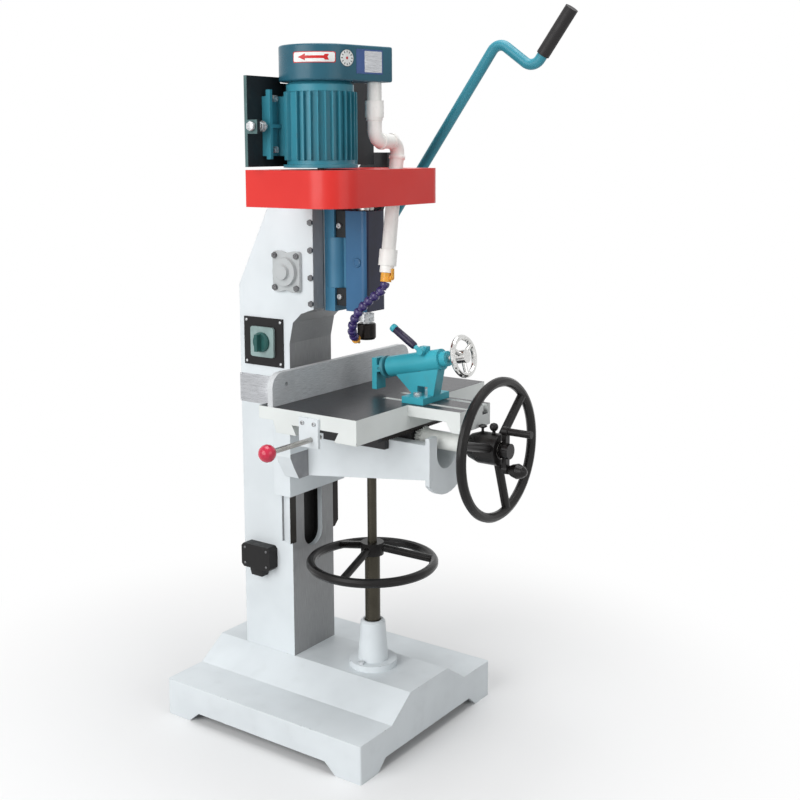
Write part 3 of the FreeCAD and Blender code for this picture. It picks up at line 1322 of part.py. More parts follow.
def make_clamp_body():
    """An inclined barrel on a web and a foot that is bolted to the T-slots."""
    body = raw_body("clamp_foot")
    top = s.table_top + s.clamp_foot_height
    pad(body, "XY", [block(s.clamp_foot_left, s.clamp_foot_right, s.clamp_foot_front, s.clamp_foot_rear)],
        s.table_top, top)
    pocket(body, "XY", [((i * s.tslot_spacing / 2, clamp_bolt_y), 5.2) for i in (-1, 1)], s.table_top, top)
    rear_up = along_clamp(s.barrel_end - 18, -s.barrel_radius + 4)
    front_up = along_clamp(s.barrel_start + 6, -s.barrel_radius + 4)
    web_points = [(s.clamp_foot_front, top - 1), (s.clamp_foot_rear, top - 1), rear_up, front_up]
    pad(body, "YZ", [web_points], -s.clamp_web_half, s.clamp_web_half)
    window_y = (s.clamp_foot_front + s.clamp_foot_rear) / 2
    pocket(body, "YZ", [block(window_y - 12, window_y + 12, top, top + 16)],
           -s.clamp_web_half, s.clamp_web_half)
    lug = block(lock_y - 8, lock_y + 8, lock_z - 16, lock_z + 8)
    pad(body, "YZ", [lug], lug_left, lug_left + 14)
    pocket(body, "YZ", [((lock_y, lock_z), 3 + s.running_fit)], lug_left, lug_left + 14)
    barrel = raw_turned("clamp_barrel", stack((15, s.barrel_start - 14, s.barrel_start),
                                              (s.barrel_radius, s.barrel_start, s.barrel_end)),
                        clamp_at, clamp_turn)
    whole = fuse("clamp_whole", [body, barrel])
    bore = raw_turned("clamp_bore", stack((s.clamp_screw_radius + s.running_fit, s.barrel_start - 20,
                                           s.barrel_start + 6),
                                          (s.ram_radius + s.running_fit, s.barrel_start + 6,
                                           s.barrel_end + 30)), clamp_at, clamp_turn)
    sub_part(cut("clamp_casting", whole, bore), "clamp_body")


lock_y, lock_z = s.lock_y, s.table_top + s.lock_rise
lug_left = -15
clamp_bolt_y = (s.clamp_foot_front + s.clamp_foot_rear) / 2
make_clamp_body()
bolts("clamp_bolts", [(i * s.tslot_spacing / 2, clamp_bolt_y) for i in (-1, 1)], 8, 7, 5,
      s.clamp_foot_height + s.tslot_depth, (0, 0, s.table_top + s.clamp_foot_height), UPRIGHT)

def make_ram():
    """The sliding ram: a bored bar with a disc and a tongue for the pad at its nose."""
    body = new_piece("clamp_ram", clamp_at, clamp_turn)
    disc_end = s.ram_end + s.ram_disc
    screw_room = s.clamp_screw_radius + s.running_fit
    revolve(body, [(screw_room, s.ram_start), (s.ram_radius, s.ram_start), (s.ram_radius, s.ram_end),
                   (s.ram_disc_radius, s.ram_end), (s.ram_disc_radius, disc_end), (0, disc_end),
                   (0, s.ram_end - 8), (screw_room, s.ram_end - 8)])
    pad(body, "XY", [block(-5, 5, -7, 7)], disc_end, disc_end + 14)
    pin = s.pad_half_width - 1
    pad(body, "YZ", [((0, disc_end + 8), 3)], -pin, pin)


make_ram()
pin_station = s.ram_end + s.ram_disc + 8
pin_y, pin_z = along_clamp(pin_station)


def make_pad():
    """The swivel pad: an upright bar with two ears round the ram's tongue."""
    body = new_piece("clamp_pad")
    w = s.pad_half_width
    foot, top = s.table_top + s.pad_foot_rise, s.table_top + s.pad_top_rise
    pad(body, "YZ", [block(s.pad_front, s.pad_rear, foot, top)], -w, w)
    ear = [(pin_y - 6, pin_z - 6), (pin_y - 6, pin_z + 6), (s.pad_rear - 1, pin_z + 9),
           (s.pad_rear - 1, pin_z - 9)]
    pad(body, "YZ", [ear], -w, -5.4)
    pad(body, "YZ", [ear], 5.4, w)
    pocket(body, "YZ", [block(s.pad_front, s.pad_rear - 4, pin_z - 12, pin_z + 12)], -5.4, 5.4)
    pocket(body, "YZ", [((pin_y, pin_z), 3 + s.running_fit)], -w, w)


make_pad()
wheel_tube = 5.5
handwheel("clamp_wheel", rim_profile(s.clamp_wheel_radius, wheel_tube, 0),
          stack((13, -8, 12), (s.clamp_screw_radius, 12, s.ram_end - 12)), None,
          [((Size(9), 2), (s.clamp_wheel_radius - wheel_tube, 0), angle, 4.5) for angle in (90, 210, 330)],
          clamp_at, clamp_turn)


def make_lock_lever():
    """The clamping lever: a round boss with a cranked arm."""
    hub = Vector(lug_left - 6, lock_y.value, lock_z.value)
    boss = Part.makeCylinder(7.5, 12 - s.air_gap.value, hub - Vector(6, 0, 0), Vector(1, 0, 0))
    boss = boss.fuse(Part.makeCylinder(3, 12, hub, Vector(1, 0, 0)))
    arm = bent_bar([hub + Vector(0, 4, 4), hub + Vector(0, 34, 30), hub + Vector(0, 70, 43)], 20, 4.5)
    coded("lock_lever", boss.fuse(arm))


make_lock_lever()

# ---------------------------------------------------------------- switch and junction box

switch_at = (-side, s.switch_y, s.switch_z)


def make_switch():
    """A rotary switch on a square plate: the body with its knob, which has a finger bar."""
    body = new_piece("switch_body", switch_at, FACING_LEFT)
    across = s.switch_plate_half_width
    up = s.switch_plate_half
    plate_face = s.switch_plate_depth
    body_face = s.switch_body_depth
    half = s.switch_body_half
    pad(body, "XY", [block(-up, up, -across, across)], 0, plate_face)
    pad(body, "XY", [block(-half, half, -half, half)], plate_face, body_face)
    round_edges(body, s.switch_corner, "z", [(i * half, j * half) for i in (-1, 1) for j in (-1, 1)])
    pin = s.knob_pin_radius
    pocket(body, "XY", [((0, 0), pin + s.running_fit)], 1, body_face)
    knob_back = body_face + s.air_gap
    knob_face = knob_back + s.knob_depth
    knob_radius = s.knob_radius
    knob = turned("switch_knob", [(0, 2), (pin, 2), (pin, knob_back), (knob_radius, knob_back),
                                  (knob_radius, knob_face - 3), (knob_radius - 3, knob_face),
                                  (0, knob_face)], switch_at, FACING_LEFT)
    bar = knob_radius - 3
    pad(knob, "XY", [block(-bar, bar, -4, 4)], knob_face - 1, knob_face + s.knob_bar)


def make_junction_box():
    """A chamfered terminal box with a cable gland below."""
    body = new_piece("junction_box", (-side, s.box_y, 0), FACING_LEFT)
    low, high, half, cut_off = s.box_foot, s.box_top, s.box_half_width, s.box_corner
    plan = [(low + cut_off, -half), (high - cut_off, -half), (high, cut_off - half),
            (high, half - cut_off), (high - cut_off, half), (low + cut_off, half),
            (low, half - cut_off), (low, cut_off - half)]
    pad(body, "XY", [plan], 0, s.box_depth)
    pad(body, "YZ", [((0, s.box_depth / 2), s.gland_radius)], low - s.gland_length, low)


make_switch()
make_junction_box()

# ---------------------------------------------------------------- checks and files

doc.recompute()
for item in doc.Objects:
    if {"Invalid", "Error"} & set(item.State):
        raise ValueError(f"{item.Label} failed: {item.State}")
os.makedirs("parts", exist_ok=True)
for item in SUB_PARTS:
    shape = item.Shape
    if shape.isNull() or not shape.isValid():
        raise ValueError(f"{item.Label} has no valid shape")
    shape.exportStep(f"parts/{item.Label}.step")
print(len(SUB_PARTS), "sub-parts")
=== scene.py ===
# %% [markdown]
# # A floor-standing mortiser, finished for the studio
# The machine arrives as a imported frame: sixty named castings, shafts and wheels that already
# stand in their places and already know how they move. This lesson gives each of them a finish,
# then models what is too fine for the frame: a ball-jointed hose, threads, screws, signs and
# knobs. Every length is in metres, the floor is z = 0 and the operator stands at -Y.

# %% Load the frame
import math
import bpy
from mathutils import Matrix, Vector


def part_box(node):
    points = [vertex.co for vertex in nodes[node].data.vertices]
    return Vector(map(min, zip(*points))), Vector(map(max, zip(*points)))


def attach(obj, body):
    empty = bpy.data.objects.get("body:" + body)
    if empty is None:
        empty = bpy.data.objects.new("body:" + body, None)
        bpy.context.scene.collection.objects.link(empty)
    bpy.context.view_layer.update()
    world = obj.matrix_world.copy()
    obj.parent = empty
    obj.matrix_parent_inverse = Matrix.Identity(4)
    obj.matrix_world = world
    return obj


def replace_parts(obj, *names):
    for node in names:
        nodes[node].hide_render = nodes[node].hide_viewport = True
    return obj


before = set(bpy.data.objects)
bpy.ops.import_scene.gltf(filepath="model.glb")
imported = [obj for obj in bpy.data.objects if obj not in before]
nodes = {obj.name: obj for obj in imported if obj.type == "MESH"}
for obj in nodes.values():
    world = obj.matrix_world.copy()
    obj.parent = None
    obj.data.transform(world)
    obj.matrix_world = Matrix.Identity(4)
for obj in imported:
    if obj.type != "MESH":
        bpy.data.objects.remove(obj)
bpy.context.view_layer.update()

# %% [markdown]
# ## Camera
# A tall machine is best seen from chest height, a little to its left, with a long lens. The camera
# is given by where it stands, how far round it has turned and how far it looks down. The lens is
# shifted down instead of being tilted more, so that upright edges stay nearly upright.

# %% Camera
stands_at = (-1.90371, -1.54868, 1.19869)
turn = math.radians(-54.634)
look_down = math.radians(7.519)
camera_lean = math.radians(-0.236)

view = bpy.data.cameras.new("view")
view.sensor_width = 36.0
view.lens = 53.30
view.shift_x = -0.0045
view.shift_y = -0.1187
camera = bpy.data.objects.new("camera", view)
bpy.context.scene.collection.objects.link(camera)
camera.matrix_world = (Matrix.Translation(stands_at)
                       @ Matrix.Rotation(turn, 4, "Z")
                       @ Matrix.Rotation(math.pi / 2 - look_down, 4, "X")
                       @ Matrix.Rotation(camera_lean, 4, "Z"))
bpy.context.scene.camera = camera
bpy.context.scene.view_settings.view_transform = "Standard"
print("camera", [round(v, 3) for v in camera.location], "lens", view.lens)

# %% [markdown]
# ## Tools for finishes
# A finish is a small tree of nodes round one Principled shader. Three helpers keep those trees
# short: one turns a colour as a painter reads it, from 0 to 255, into the light values that the
# shader wants, one adds a node and wires it in the same line, and one starts a new finish.

# %% Helpers for finishes
def colour(red, green, blue):
    """A colour of 0 to 255 steps as linear light."""
    def linear(step):
        part = step / 255
        return part / 12.92 if part <= 0.04045 else ((part + 0.055) / 1.055) ** 2.4
    return (linear(red), linear(green), linear(blue), 1.0)


def add(tree, kind, feeds=None, **settings):
    """A node of this kind, with its settings, and each of its inputs given a value or a wire."""
    made = tree.nodes.new("ShaderNode" + kind)
    for key, value in settings.items():
        setattr(made, key, value)
    for key, value in (feeds or {}).items():
        if isinstance(value, bpy.types.NodeSocket):
            tree.links.new(value, made.inputs[key])
        else:
            made.inputs[key].default_value = value
    return made


def new_finish(name, **values):
    """A material with one Principled shader, whose named sockets are set."""
    made = bpy.data.materials.new(name)
    made.use_nodes = True
    shader = made.node_tree.nodes["Principled BSDF"]
    for key, value in values.items():
        shader.inputs[key.replace("_", " ")].default_value = value
    return made, made.node_tree, shader


print("a painter's mid grey as light:", round(colour(128, 128, 128)[0], 3))

# %% [markdown]
# Real surfaces vary: a sprayed coat is cloudy, iron is scratched and oil lies in patches. All of
# that comes from noise at the right size, so the next helpers make noise with features of so many
# metres, stretch its values, multiply them and blend two colours with them. The noise reads the
# piece's own coordinates, so a pattern stays on the piece when it moves.

# %% Helpers for patterns
def place(tree, scale=(1, 1, 1)):
    """Where a point is on the piece, in metres, stretched by a scale."""
    spot = add(tree, "TexCoord").outputs["Object"]
    return add(tree, "Mapping", {"Vector": spot, "Scale": scale}).outputs["Vector"]


def grain(tree, size, detail=3.0, stretch=(1, 1, 1), rough=0.5):
    """Noise whose features are about this many metres across."""
    feeds = {"Vector": place(tree, stretch), "Scale": 1 / size, "Detail": detail,
             "Roughness": rough}
    return add(tree, "TexNoise", feeds).outputs["Fac"]


def ramp(tree, value, low, high, start=0.0, end=1.0):
    """Stretches a value from low..high to start..end."""
    feeds = {"Value": value, "From Min": low, "From Max": high, "To Min": start, "To Max": end}
    return add(tree, "MapRange", feeds, interpolation_type="SMOOTHSTEP").outputs["Result"]


def times(tree, first, second):
    """Multiplies two values."""
    return add(tree, "Math", {0: first, 1: second}, operation="MULTIPLY").outputs[0]


def mix(tree, amount, first, second):
    """Blends two colours."""
    feeds = {"Factor": amount, 6: first, 7: second}
    return add(tree, "Mix", feeds, data_type="RGBA").outputs[2]


print("pattern helpers ready")

# %% [markdown]
# Edges and directions tell the rest. A cast edge is never knife sharp, which the Bevel node shows
# without any new geometry, and where that rounded direction leaves the flat one, paint wears off.
# The last two helpers ask which way the surface looks and between which heights it lies, to give
# one face of a casting another finish.

# %% Helpers for edges and directions
def soft_edges(tree, width):
    """The surface direction with its sharp edges rounded by this many metres."""
    return add(tree, "Bevel", {"Radius": width}, samples=4).outputs["Normal"]


def bump(tree, height, depth, normal=None):
    """Relief of this many metres, on top of a direction."""
    feeds = {"Height": height, "Distance": depth, "Strength": 1.0}
    if normal is not None:
        feeds["Normal"] = normal
    return add(tree, "Bump", feeds).outputs["Normal"]


def worn_edges(tree, width, share=0.55):
    """1 along the sharp edges where paint rubs off, in broken stretches, and 0 elsewhere."""
    plain = add(tree, "NewGeometry").outputs["Normal"]
    rounded = soft_edges(tree, width)
    feeds = {0: plain, 1: rounded}
    along = add(tree, "VectorMath", feeds, operation="DOT_PRODUCT").outputs["Value"]
    edge = ramp(tree, along, 0.985, 0.90)
    patches = ramp(tree, grain(tree, 0.012, 4), share, share + 0.1)
    return times(tree, edge, patches)


def facing(tree, axis, least):
    """1 where the surface looks along an axis, such as (0, 0, 1) for a top, and 0 elsewhere."""
    plain = add(tree, "NewGeometry").outputs["Normal"]
    feeds = {0: plain, 1: axis}
    along = add(tree, "VectorMath", feeds, operation="DOT_PRODUCT").outputs["Value"]
    return ramp(tree, along, least, least + 0.02)


def between(tree, axis, low, high):
    """1 between two places along an axis ("X", "Y" or "Z"), in metres, and 0 elsewhere."""
    spot = add(tree, "SeparateXYZ", {0: add(tree, "TexCoord").outputs["Object"]}).outputs[axis]
    above = add(tree, "Math", {0: spot, 1: low}, operation="GREATER_THAN").outputs[0]
    below = add(tree, "Math", {0: spot, 1: high}, operation="LESS_THAN").outputs[0]
    return times(tree, above, below)


print("edge helpers ready")

# %% [markdown]
# ## Paint
# The castings are filled, primed and sprayed. Sprayed enamel is never flat: it has the fine
# pebbled skin that painters call orange peel, slightly different shades where it lies thicker,
# dust in patches and bare primer where edges get knocked. One function makes every enamel
# on the machine, so the paints differ only in their colour, gloss and how much they have been
# used.

# %% Enamel
def enamel(name, paint, gloss=0.4, peel=0.00004, peel_size=0.0022, edge=0.0016, wear=(70, 72, 74),
           dusty=0.12):
    """Sprayed enamel over cast iron: the relief and size of its skin, worn edges and dust."""
    made, tree, shader = new_finish(name, Specular_IOR_Level=0.3)
    cloud = grain(tree, 0.12, 3)
    shade = mix(tree, ramp(tree, cloud, 0.35, 0.7), colour(*paint),
                colour(*[max(0, step - 8) for step in paint]))
    dust = times(tree, ramp(tree, grain(tree, 0.03, 6), 0.56, 0.75), dusty)
    shade = mix(tree, dust, shade, colour(*[(step + 2 * grey) / 3 for step, grey in
                                            zip(paint, (120, 118, 112))]))
    chips = worn_edges(tree, edge, 0.6)
    tree.links.new(mix(tree, chips, shade, colour(*wear)), shader.inputs["Base Color"])
    matt = ramp(tree, grain(tree, 0.05, 4), 0.3, 0.75, gloss - 0.05, gloss + 0.1)
    tree.links.new(matt, shader.inputs["Roughness"])
    skin = bump(tree, grain(tree, peel_size, 2), peel, soft_edges(tree, edge))
    tree.links.new(skin, shader.inputs["Normal"])
    return made


body_white = enamel("body_white", (226, 232, 235), 0.36, dusty=0.04)
flange_grey = enamel("flange_grey", (190, 194, 195), 0.36)
motor_teal = enamel("motor_teal", (60, 138, 156), 0.34, 0.00006)
cowl_teal = enamel("cowl_teal", (42, 94, 112), 0.3, 0.00006)
housing_blue = enamel("housing_blue", (58, 106, 146), 0.34)
knee_white = enamel("knee_white", (226, 232, 235), 0.36, dusty=0.04)
clamp_teal = enamel("clamp_teal", (66, 172, 188), 0.34)
head_blue = enamel("head_blue", (70, 128, 160), 0.36)
lever_teal = enamel("lever_teal", (62, 146, 164), 0.3, 0.00001, edge=0.0002)
wheel_black = enamel("wheel_black", (15, 13, 13), 0.3, 0.00008, 0.006, 0.0012, (46, 44, 42))
plate_black = enamel("plate_black", (30, 33, 36), 0.42)
print("enamels:", [m.name for m in bpy.data.materials])

# %% [markdown]
# The belt cover is folded sheet, powder coated and shinier than the castings, so its skin is
# finer and it carries a thin clear coat.

# %% Powder coat
def powder_coat(name, paint):
    """Baked powder on sheet metal, under a thin clear coat."""
    made, tree, shader = new_finish(name, Specular_IOR_Level=0.3, Coat_Weight=0.08,
                                    Coat_Roughness=0.12)
    cloud = grain(tree, 0.2, 2)
    shade = mix(tree, ramp(tree, cloud, 0.3, 0.7), colour(*paint),
                colour(*[max(0, step - 10) for step in paint]))
    chips = worn_edges(tree, 0.0012, 0.66)
    tree.links.new(mix(tree, chips, shade, colour(120, 60, 56)), shader.inputs["Base Color"])
    tree.links.new(ramp(tree, grain(tree, 0.04, 3), 0.3, 0.7, 0.3, 0.4), shader.inputs["Roughness"])
    skin = bump(tree, grain(tree, 0.0016, 2), 0.00002, soft_edges(tree, 0.0012))
    tree.links.new(skin, shader.inputs["Normal"])
    return made


cover_red = powder_coat("cover_red", (222, 52, 46))
print("powder coat:", cover_red.name)

# %% [markdown]
# ## Metal
# Bare metal shows how it was cut. Ground ways have long fine scratches along the stroke of the
# grinder, turned parts have rings round their axis, and old oil darkens both. The scratches are
# noise stretched a hundred times along one direction.

# %% Bare metal
def bare_metal(name, tone, gloss=0.34, stroke=(1, 60, 60), depth=0.00001, oil=(40, 36, 30),
               oiled=0.25, edge=0.0008, metal=1.0):
    """Machined steel or iron, with tool marks that run along the short side of stroke."""
    made, tree, shader = new_finish(name, Metallic=metal)
    marks = grain(tree, 0.02, 6, stroke, 0.6)
    light = mix(tree, ramp(tree, marks, 0.35, 0.68), colour(*[step * 0.82 for step in tone]),
                colour(*tone))
    stain = times(tree, ramp(tree, grain(tree, 0.06, 5), 0.45, 0.7), oiled)
    tree.links.new(mix(tree, stain, light, colour(*oil)), shader.inputs["Base Color"])
    rough = ramp(tree, marks, 0.3, 0.7, gloss - 0.06, gloss + 0.1)
    tree.links.new(rough, shader.inputs["Roughness"])
    tree.links.new(bump(tree, marks, depth, soft_edges(tree, edge)), shader.inputs["Normal"])
    return made


bright_steel = bare_metal("bright_steel", (196, 194, 190), 0.26, (8, 8, 60))
dark_steel = bare_metal("dark_steel", (92, 86, 78), 0.36, (6, 6, 60))
cast_iron = bare_metal("cast_iron", (118, 120, 122), 0.42, (40, 40, 1))
chrome = bare_metal("chrome", (232, 232, 230), 0.07, (10, 10, 10), 0.000002, (180, 176, 170), 0.1)
blued_steel = bare_metal("blued_steel", (46, 43, 42), 0.34, (6, 6, 60), 0.00001, (20, 18, 16))
aluminium = bare_metal("aluminium", (190, 192, 196), 0.3, (2, 2, 2))
copper = bare_metal("copper", (190, 110, 70), 0.35, (2, 2, 60))
fence_iron = bare_metal("fence_iron", (226, 229, 231), 0.42, (1, 40, 40), metal=0.05, oiled=0.06)
zinc = bare_metal("zinc", (214, 216, 218), 0.24, (4, 4, 4), 0.000002, oiled=0.08, edge=0.0002,
                  metal=0.5)
screw_steel = bare_metal("screw_steel", (122, 122, 124), 0.3, (8, 8, 8), metal=0.6)
thread_steel = bare_metal("thread_steel", (74, 70, 60), 0.34, (6, 6, 60), metal=0.8)
sleeve_steel = bare_metal("sleeve_steel", (196, 194, 190), 0.26, (60, 1, 60))
ram_steel = bare_metal("ram_steel", (190, 190, 188), 0.28, (8, 60, 8))
print("metals added, finishes so far:", len(bpy.data.materials))

# %% [markdown]
# ## Castings that are part painted, part machined
# The column, the table and the saddle are painted castings whose working faces were machined
# afterwards. Both finishes are on one piece, so the shader picks between them by which way the
# surface looks: the front of the column and the top of the table are ground iron. On the column
# the darker iron also reaches faces that turn only partly forward, such as the slopes under its
# front, and there it is painted shade.

# %% Painted castings with ground faces
def ground_face(name, paint, iron, axis, stroke, low, high, rough=0.42, sheen=0.55, least=0.9):
    """Enamel, except on the faces that look along axis between two heights, which are ground."""
    made, tree, shader = new_finish(name, Specular_IOR_Level=0.3)
    face = times(tree, facing(tree, axis, least), between(tree, "Z", low, high))
    cloud = ramp(tree, grain(tree, 0.12, 3), 0.35, 0.7)
    shade = mix(tree, cloud, colour(*paint), colour(*[step - 8 for step in paint]))
    chips = worn_edges(tree, 0.0016, 0.6)
    shade = mix(tree, chips, shade, colour(84, 86, 88))
    marks = grain(tree, 0.03, 6, stroke, 0.6)
    bare = mix(tree, ramp(tree, marks, 0.35, 0.66), colour(*[step * 0.84 for step in iron]),
               colour(*iron))
    tree.links.new(mix(tree, face, shade, bare), shader.inputs["Base Color"])
    tree.links.new(times(tree, face, sheen), shader.inputs["Metallic"])
    painted = ramp(tree, grain(tree, 0.05, 4), 0.3, 0.75, 0.32, 0.46)
    cut = ramp(tree, marks, 0.3, 0.7, rough - 0.05, rough + 0.08)
    blend = add(tree, "Mix", {"Factor": face, 2: painted, 3: cut}, data_type="FLOAT").outputs[0]
    tree.links.new(blend, shader.inputs["Roughness"])
    skin = bump(tree, grain(tree, 0.0022, 2), 0.00003, soft_edges(tree, 0.0014))
    tree.links.new(skin, shader.inputs["Normal"])
    return made


# The column's iron reaches faces that look only partly forward (least=0.3); on those slopes its
# darker tone is painted shade.
column_finish_and_shade = ground_face("column_finish_and_shade", (226, 232, 235), (168, 169, 170), (0, -1, 0),
                            (60, 60, 1), 0.1, 1.09, sheen=0.15, least=0.3)
table_finish = ground_face("table_finish", (226, 230, 228), (64, 64, 68), (0, 0, 1),
                           (1, 50, 50), 0.68, 0.72, 0.3)
saddle_finish = ground_face("saddle_finish", (44, 44, 46), (96, 90, 80), (0, 0, 1),
                            (50, 1, 50), 0.6, 0.7, 0.3)
print("part painted:", column_finish_and_shade.name, table_finish.name, saddle_finish.name)

# %% [markdown]
# ## Plastics and rubber
# Moulded plastic has a fine, even spark-eroded skin and soft edges. Amber fittings let a little
# light in, so they get some subsurface scatter. The phenolic ball and the hose beads are polished.

# %% Plastics
def plastic(name, paint, gloss=0.35, skin=0.00002, skin_size=0.0009, glow=0.0, coat=0.0,
            cloudy=0.93):
    """Moulded plastic: cloudy is how dark its darker patches are."""
    made, tree, shader = new_finish(name, Specular_IOR_Level=0.3, Coat_Weight=coat,
                                    Coat_Roughness=0.08, Subsurface_Weight=glow,
                                    Subsurface_Scale=0.002)
    cloud = ramp(tree, grain(tree, 0.02, 4), 0.3, 0.7)
    shade = mix(tree, cloud, colour(*paint), colour(*[step * cloudy for step in paint]))
    tree.links.new(shade, shader.inputs["Base Color"])
    tree.links.new(ramp(tree, grain(tree, 0.015, 4), 0.3, 0.7, gloss - 0.04, gloss + 0.08),
                   shader.inputs["Roughness"])
    tree.links.new(bump(tree, grain(tree, skin_size, 2), skin, soft_edges(tree, 0.0008)),
                   shader.inputs["Normal"])
    return made


pipe_white = plastic("pipe_white", (252, 250, 246), 0.26, 0.000006, cloudy=0.975)
hose_purple = plastic("hose_purple", (58, 44, 104), 0.22, coat=0.4)
fitting_amber = plastic("fitting_amber", (246, 176, 66), 0.3, glow=0.1)
ball_crimson = plastic("ball_crimson", (206, 34, 70), 0.16, 0.000004, coat=0.3)
moulded_black = plastic("moulded_black", (15, 14, 15), 0.42, 0.00003)
grip_rubber = plastic("grip_rubber", (36, 34, 35), 0.5, 0.00006, 0.0014)
grip_violet = plastic("grip_violet", (40, 34, 62), 0.34, 0.00004)
knob_green = plastic("knob_green", (44, 92, 88), 0.3)
belt_rubber = plastic("belt_rubber", (38, 37, 36), 0.6, 0.00005, 0.002)
print("plastics added, finishes so far:", len(bpy.data.materials))

# %% [markdown]
# ## Other colours on part of a piece
# Some solids carry two finishes: the feed sleeve is painted over part of its length, and the grey
# escutcheon of the switch stands on a black plate. Other zones are painted light: painted shade in
# the slot in the column, on the knee's front under its arm and on the front of the spindle housing
# under the cover, and a painted highlight on the ground edge of the gib. A box in the piece's own
# coordinates says where the other colour lies, and the shader blends colour, metal and gloss there.

# %% Zones of another colour
def paint_zone(finish, paint, metal=0.0, rough=0.38, **spans):
    """Another colour inside a box, whose spans along X, Y and Z are given in metres."""
    tree = finish.node_tree
    shader = tree.nodes["Principled BSDF"]
    inside = None
    for axis, (low, high) in spans.items():
        mask = between(tree, axis, low, high)
        inside = mask if inside is None else times(tree, inside, mask)
    cloud = ramp(tree, grain(tree, 0.03, 4), 0.3, 0.7)
    fresh = mix(tree, cloud, colour(*paint), colour(*[step * 0.9 for step in paint]))
    under = shader.inputs["Base Color"].links[0].from_socket
    tree.links.new(mix(tree, inside, under, fresh), shader.inputs["Base Color"])
    for socket, value in (("Metallic", metal), ("Roughness", rough)):
        slot = shader.inputs[socket]
        under = slot.links[0].from_socket if slot.is_linked else slot.default_value
        made = add(tree, "Mix", {"Factor": inside, 2: under, 3: value}, data_type="FLOAT")
        tree.links.new(made.outputs[0], slot)


# Painted shade: the deep inside of the slot in the column is near black.
paint_zone(column_finish_and_shade, (26, 25, 24), 0.0, 0.5, X=(-0.0302, 0.0302), Y=(0.056, 0.17),
           Z=(0.3, 0.745))
paint_zone(column_finish_and_shade, (44, 41, 36), 0.3, 0.4, X=(-0.0757, -0.056), Y=(0.043, 0.0445),
           Z=(0.371, 0.7405))
paint_zone(column_finish_and_shade, (176, 168, 158), 0.4, 0.36, X=(-0.0757, -0.0753), Y=(0.0445, 0.0732),
           Z=(0.371, 0.7405))
# Painted shade: the front of the knee's root, under its arm, is darker grey.
paint_zone(knee_white, (150, 151, 154), 0.1, 0.4, Y=(0.0045, 0.0055), Z=(0.476, 0.58))
paint_zone(screw_steel, (224, 228, 231), 0.0, 0.36, Z=(0.1, 0.2))
paint_zone(housing_blue, (206, 204, 200), 0.6, 0.25, Z=(1.0765, 1.09))
# Painted shade: the front of the spindle housing, under the belt cover, is dark blue.
paint_zone(housing_blue, (34, 38, 66), 0.0, 0.3, Y=(-0.1305, -0.1285))
# The ground right edge of the gib is painted bright, partly as a painted edge highlight.
paint_zone(cast_iron, (214, 212, 206), 0.2, 0.35, X=(-0.0332, -0.0297))
paint_zone(plate_black, (84, 112, 112), 0.0, 0.4, X=(-0.2655, -0.2645))
paint_zone(sleeve_steel, (236, 238, 234), 0.0, 0.36, Y=(-0.4245, -0.2))
paint_zone(ram_steel, (72, 150, 164), 0.0, 0.36, Y=(-0.165, -0.13))
paint_zone(moulded_black, (150, 172, 170), 0.0, 0.34, X=(-0.0765, -0.0712), Y=(0.08, 0.147),
           Z=(0.76, 0.84))
print("zones painted")

# %% [markdown]
# ## Hand the finishes out
# Each node of the frame takes its finish by name. A node keeps its mesh and place; only what is
# in its material slots changes.

# %% Finishes on the frame
wearing = {
    body_white: "base screw_pedestal stop_plate",
    knee_white: "knee",
    flange_grey: "feed_bearing",
    column_finish_and_shade: "column",
    table_finish: "table",
    saddle_finish: "saddle",
    cast_iron: "head_gib",
    fence_iron: "fence",
    sleeve_steel: "table_feed_shaft",
    ram_steel: "clamp_ram",
    blued_steel: "way_keeper table_rack feed_rack feed_pinion chuck",
    screw_steel: "frame_bolts",
    zinc: "motor_bolts clamp_bolts spindle",
    plate_black: "outboard_bearing motor_plate clamp_blocks",
    lever_teal: "lever_arm",
    grip_rubber: "lever_grip",
    head_blue: "head_slide",
    housing_blue: "spindle_housing",
    dark_steel: "elevating_screw spindle_bearings motor_rotor feed_shaft cross_nut",
    bright_steel: "spindle_pulley motor_pulley stop_rod",
    belt_rubber: "drive_belt",
    cover_red: "belt_cover",
    motor_teal: "motor_carrier motor_frame motor_bells",
    cowl_teal: "blower_cowl",
    copper: "stator",
    aluminium: "blower_impeller",
    pipe_white: "air_pipe",
    fitting_amber: "air_valve valve_lever air_nozzle",
    hose_purple: "air_hose",
    wheel_black: "knee_handwheel table_handwheel cross_crank",
    clamp_teal: "clamp_body clamp_pad lock_lever",
    chrome: "clamp_wheel",
    moulded_black: "switch_body junction_box",
    knob_green: "switch_knob",
    ball_crimson: "stop_ball",
}
finished_nodes = set()
for finish, names in wearing.items():
    for name in names.split():
        nodes[name].data.materials.clear()
        nodes[name].data.materials.append(finish)
        finished_nodes.add(name)
print("without a finish:", sorted(set(nodes) - finished_nodes))

# %% [markdown]
# ## Tools for modelling
# The frame leaves out what is finer than a casting. Those pieces are modelled here as one would by
# hand: a primitive is added, pulled, resized and bevelled in edit mode. Operators act on whatever
# is selected, and the frame arrives selected, so each helper first clears the selection.

# %% Start a piece
def mm(*values):
    """Millimetres as metres."""
    return tuple(value / 1000 for value in values)


def clear_selection():
    if bpy.context.object and bpy.context.object.mode != "OBJECT":
        bpy.ops.object.mode_set(mode="OBJECT")
    bpy.ops.object.select_all(action="DESELECT")


def work_on(piece):
    """Selects one piece and nothing else."""
    clear_selection()
    piece.select_set(True)
    bpy.context.view_layer.objects.active = piece


def primitive(kind, name, **where):
    """A new primitive, added with nothing else selected."""
    clear_selection()
    getattr(bpy.ops.mesh, f"primitive_{kind}_add")(**where)
    piece = bpy.context.object
    piece.name = piece.data.name = name
    return piece


print("selected when the frame arrives:", len(bpy.context.selected_objects), "objects")

# %% [markdown]
# Most small parts come off a lathe or a wire bender. A turned part starts as a disc, which is
# pulled up ring by ring and resized at each step, like a profile drawn from the bottom up. A line
# starts as one corner that is pulled from point to point, ready for a modifier to sweep.

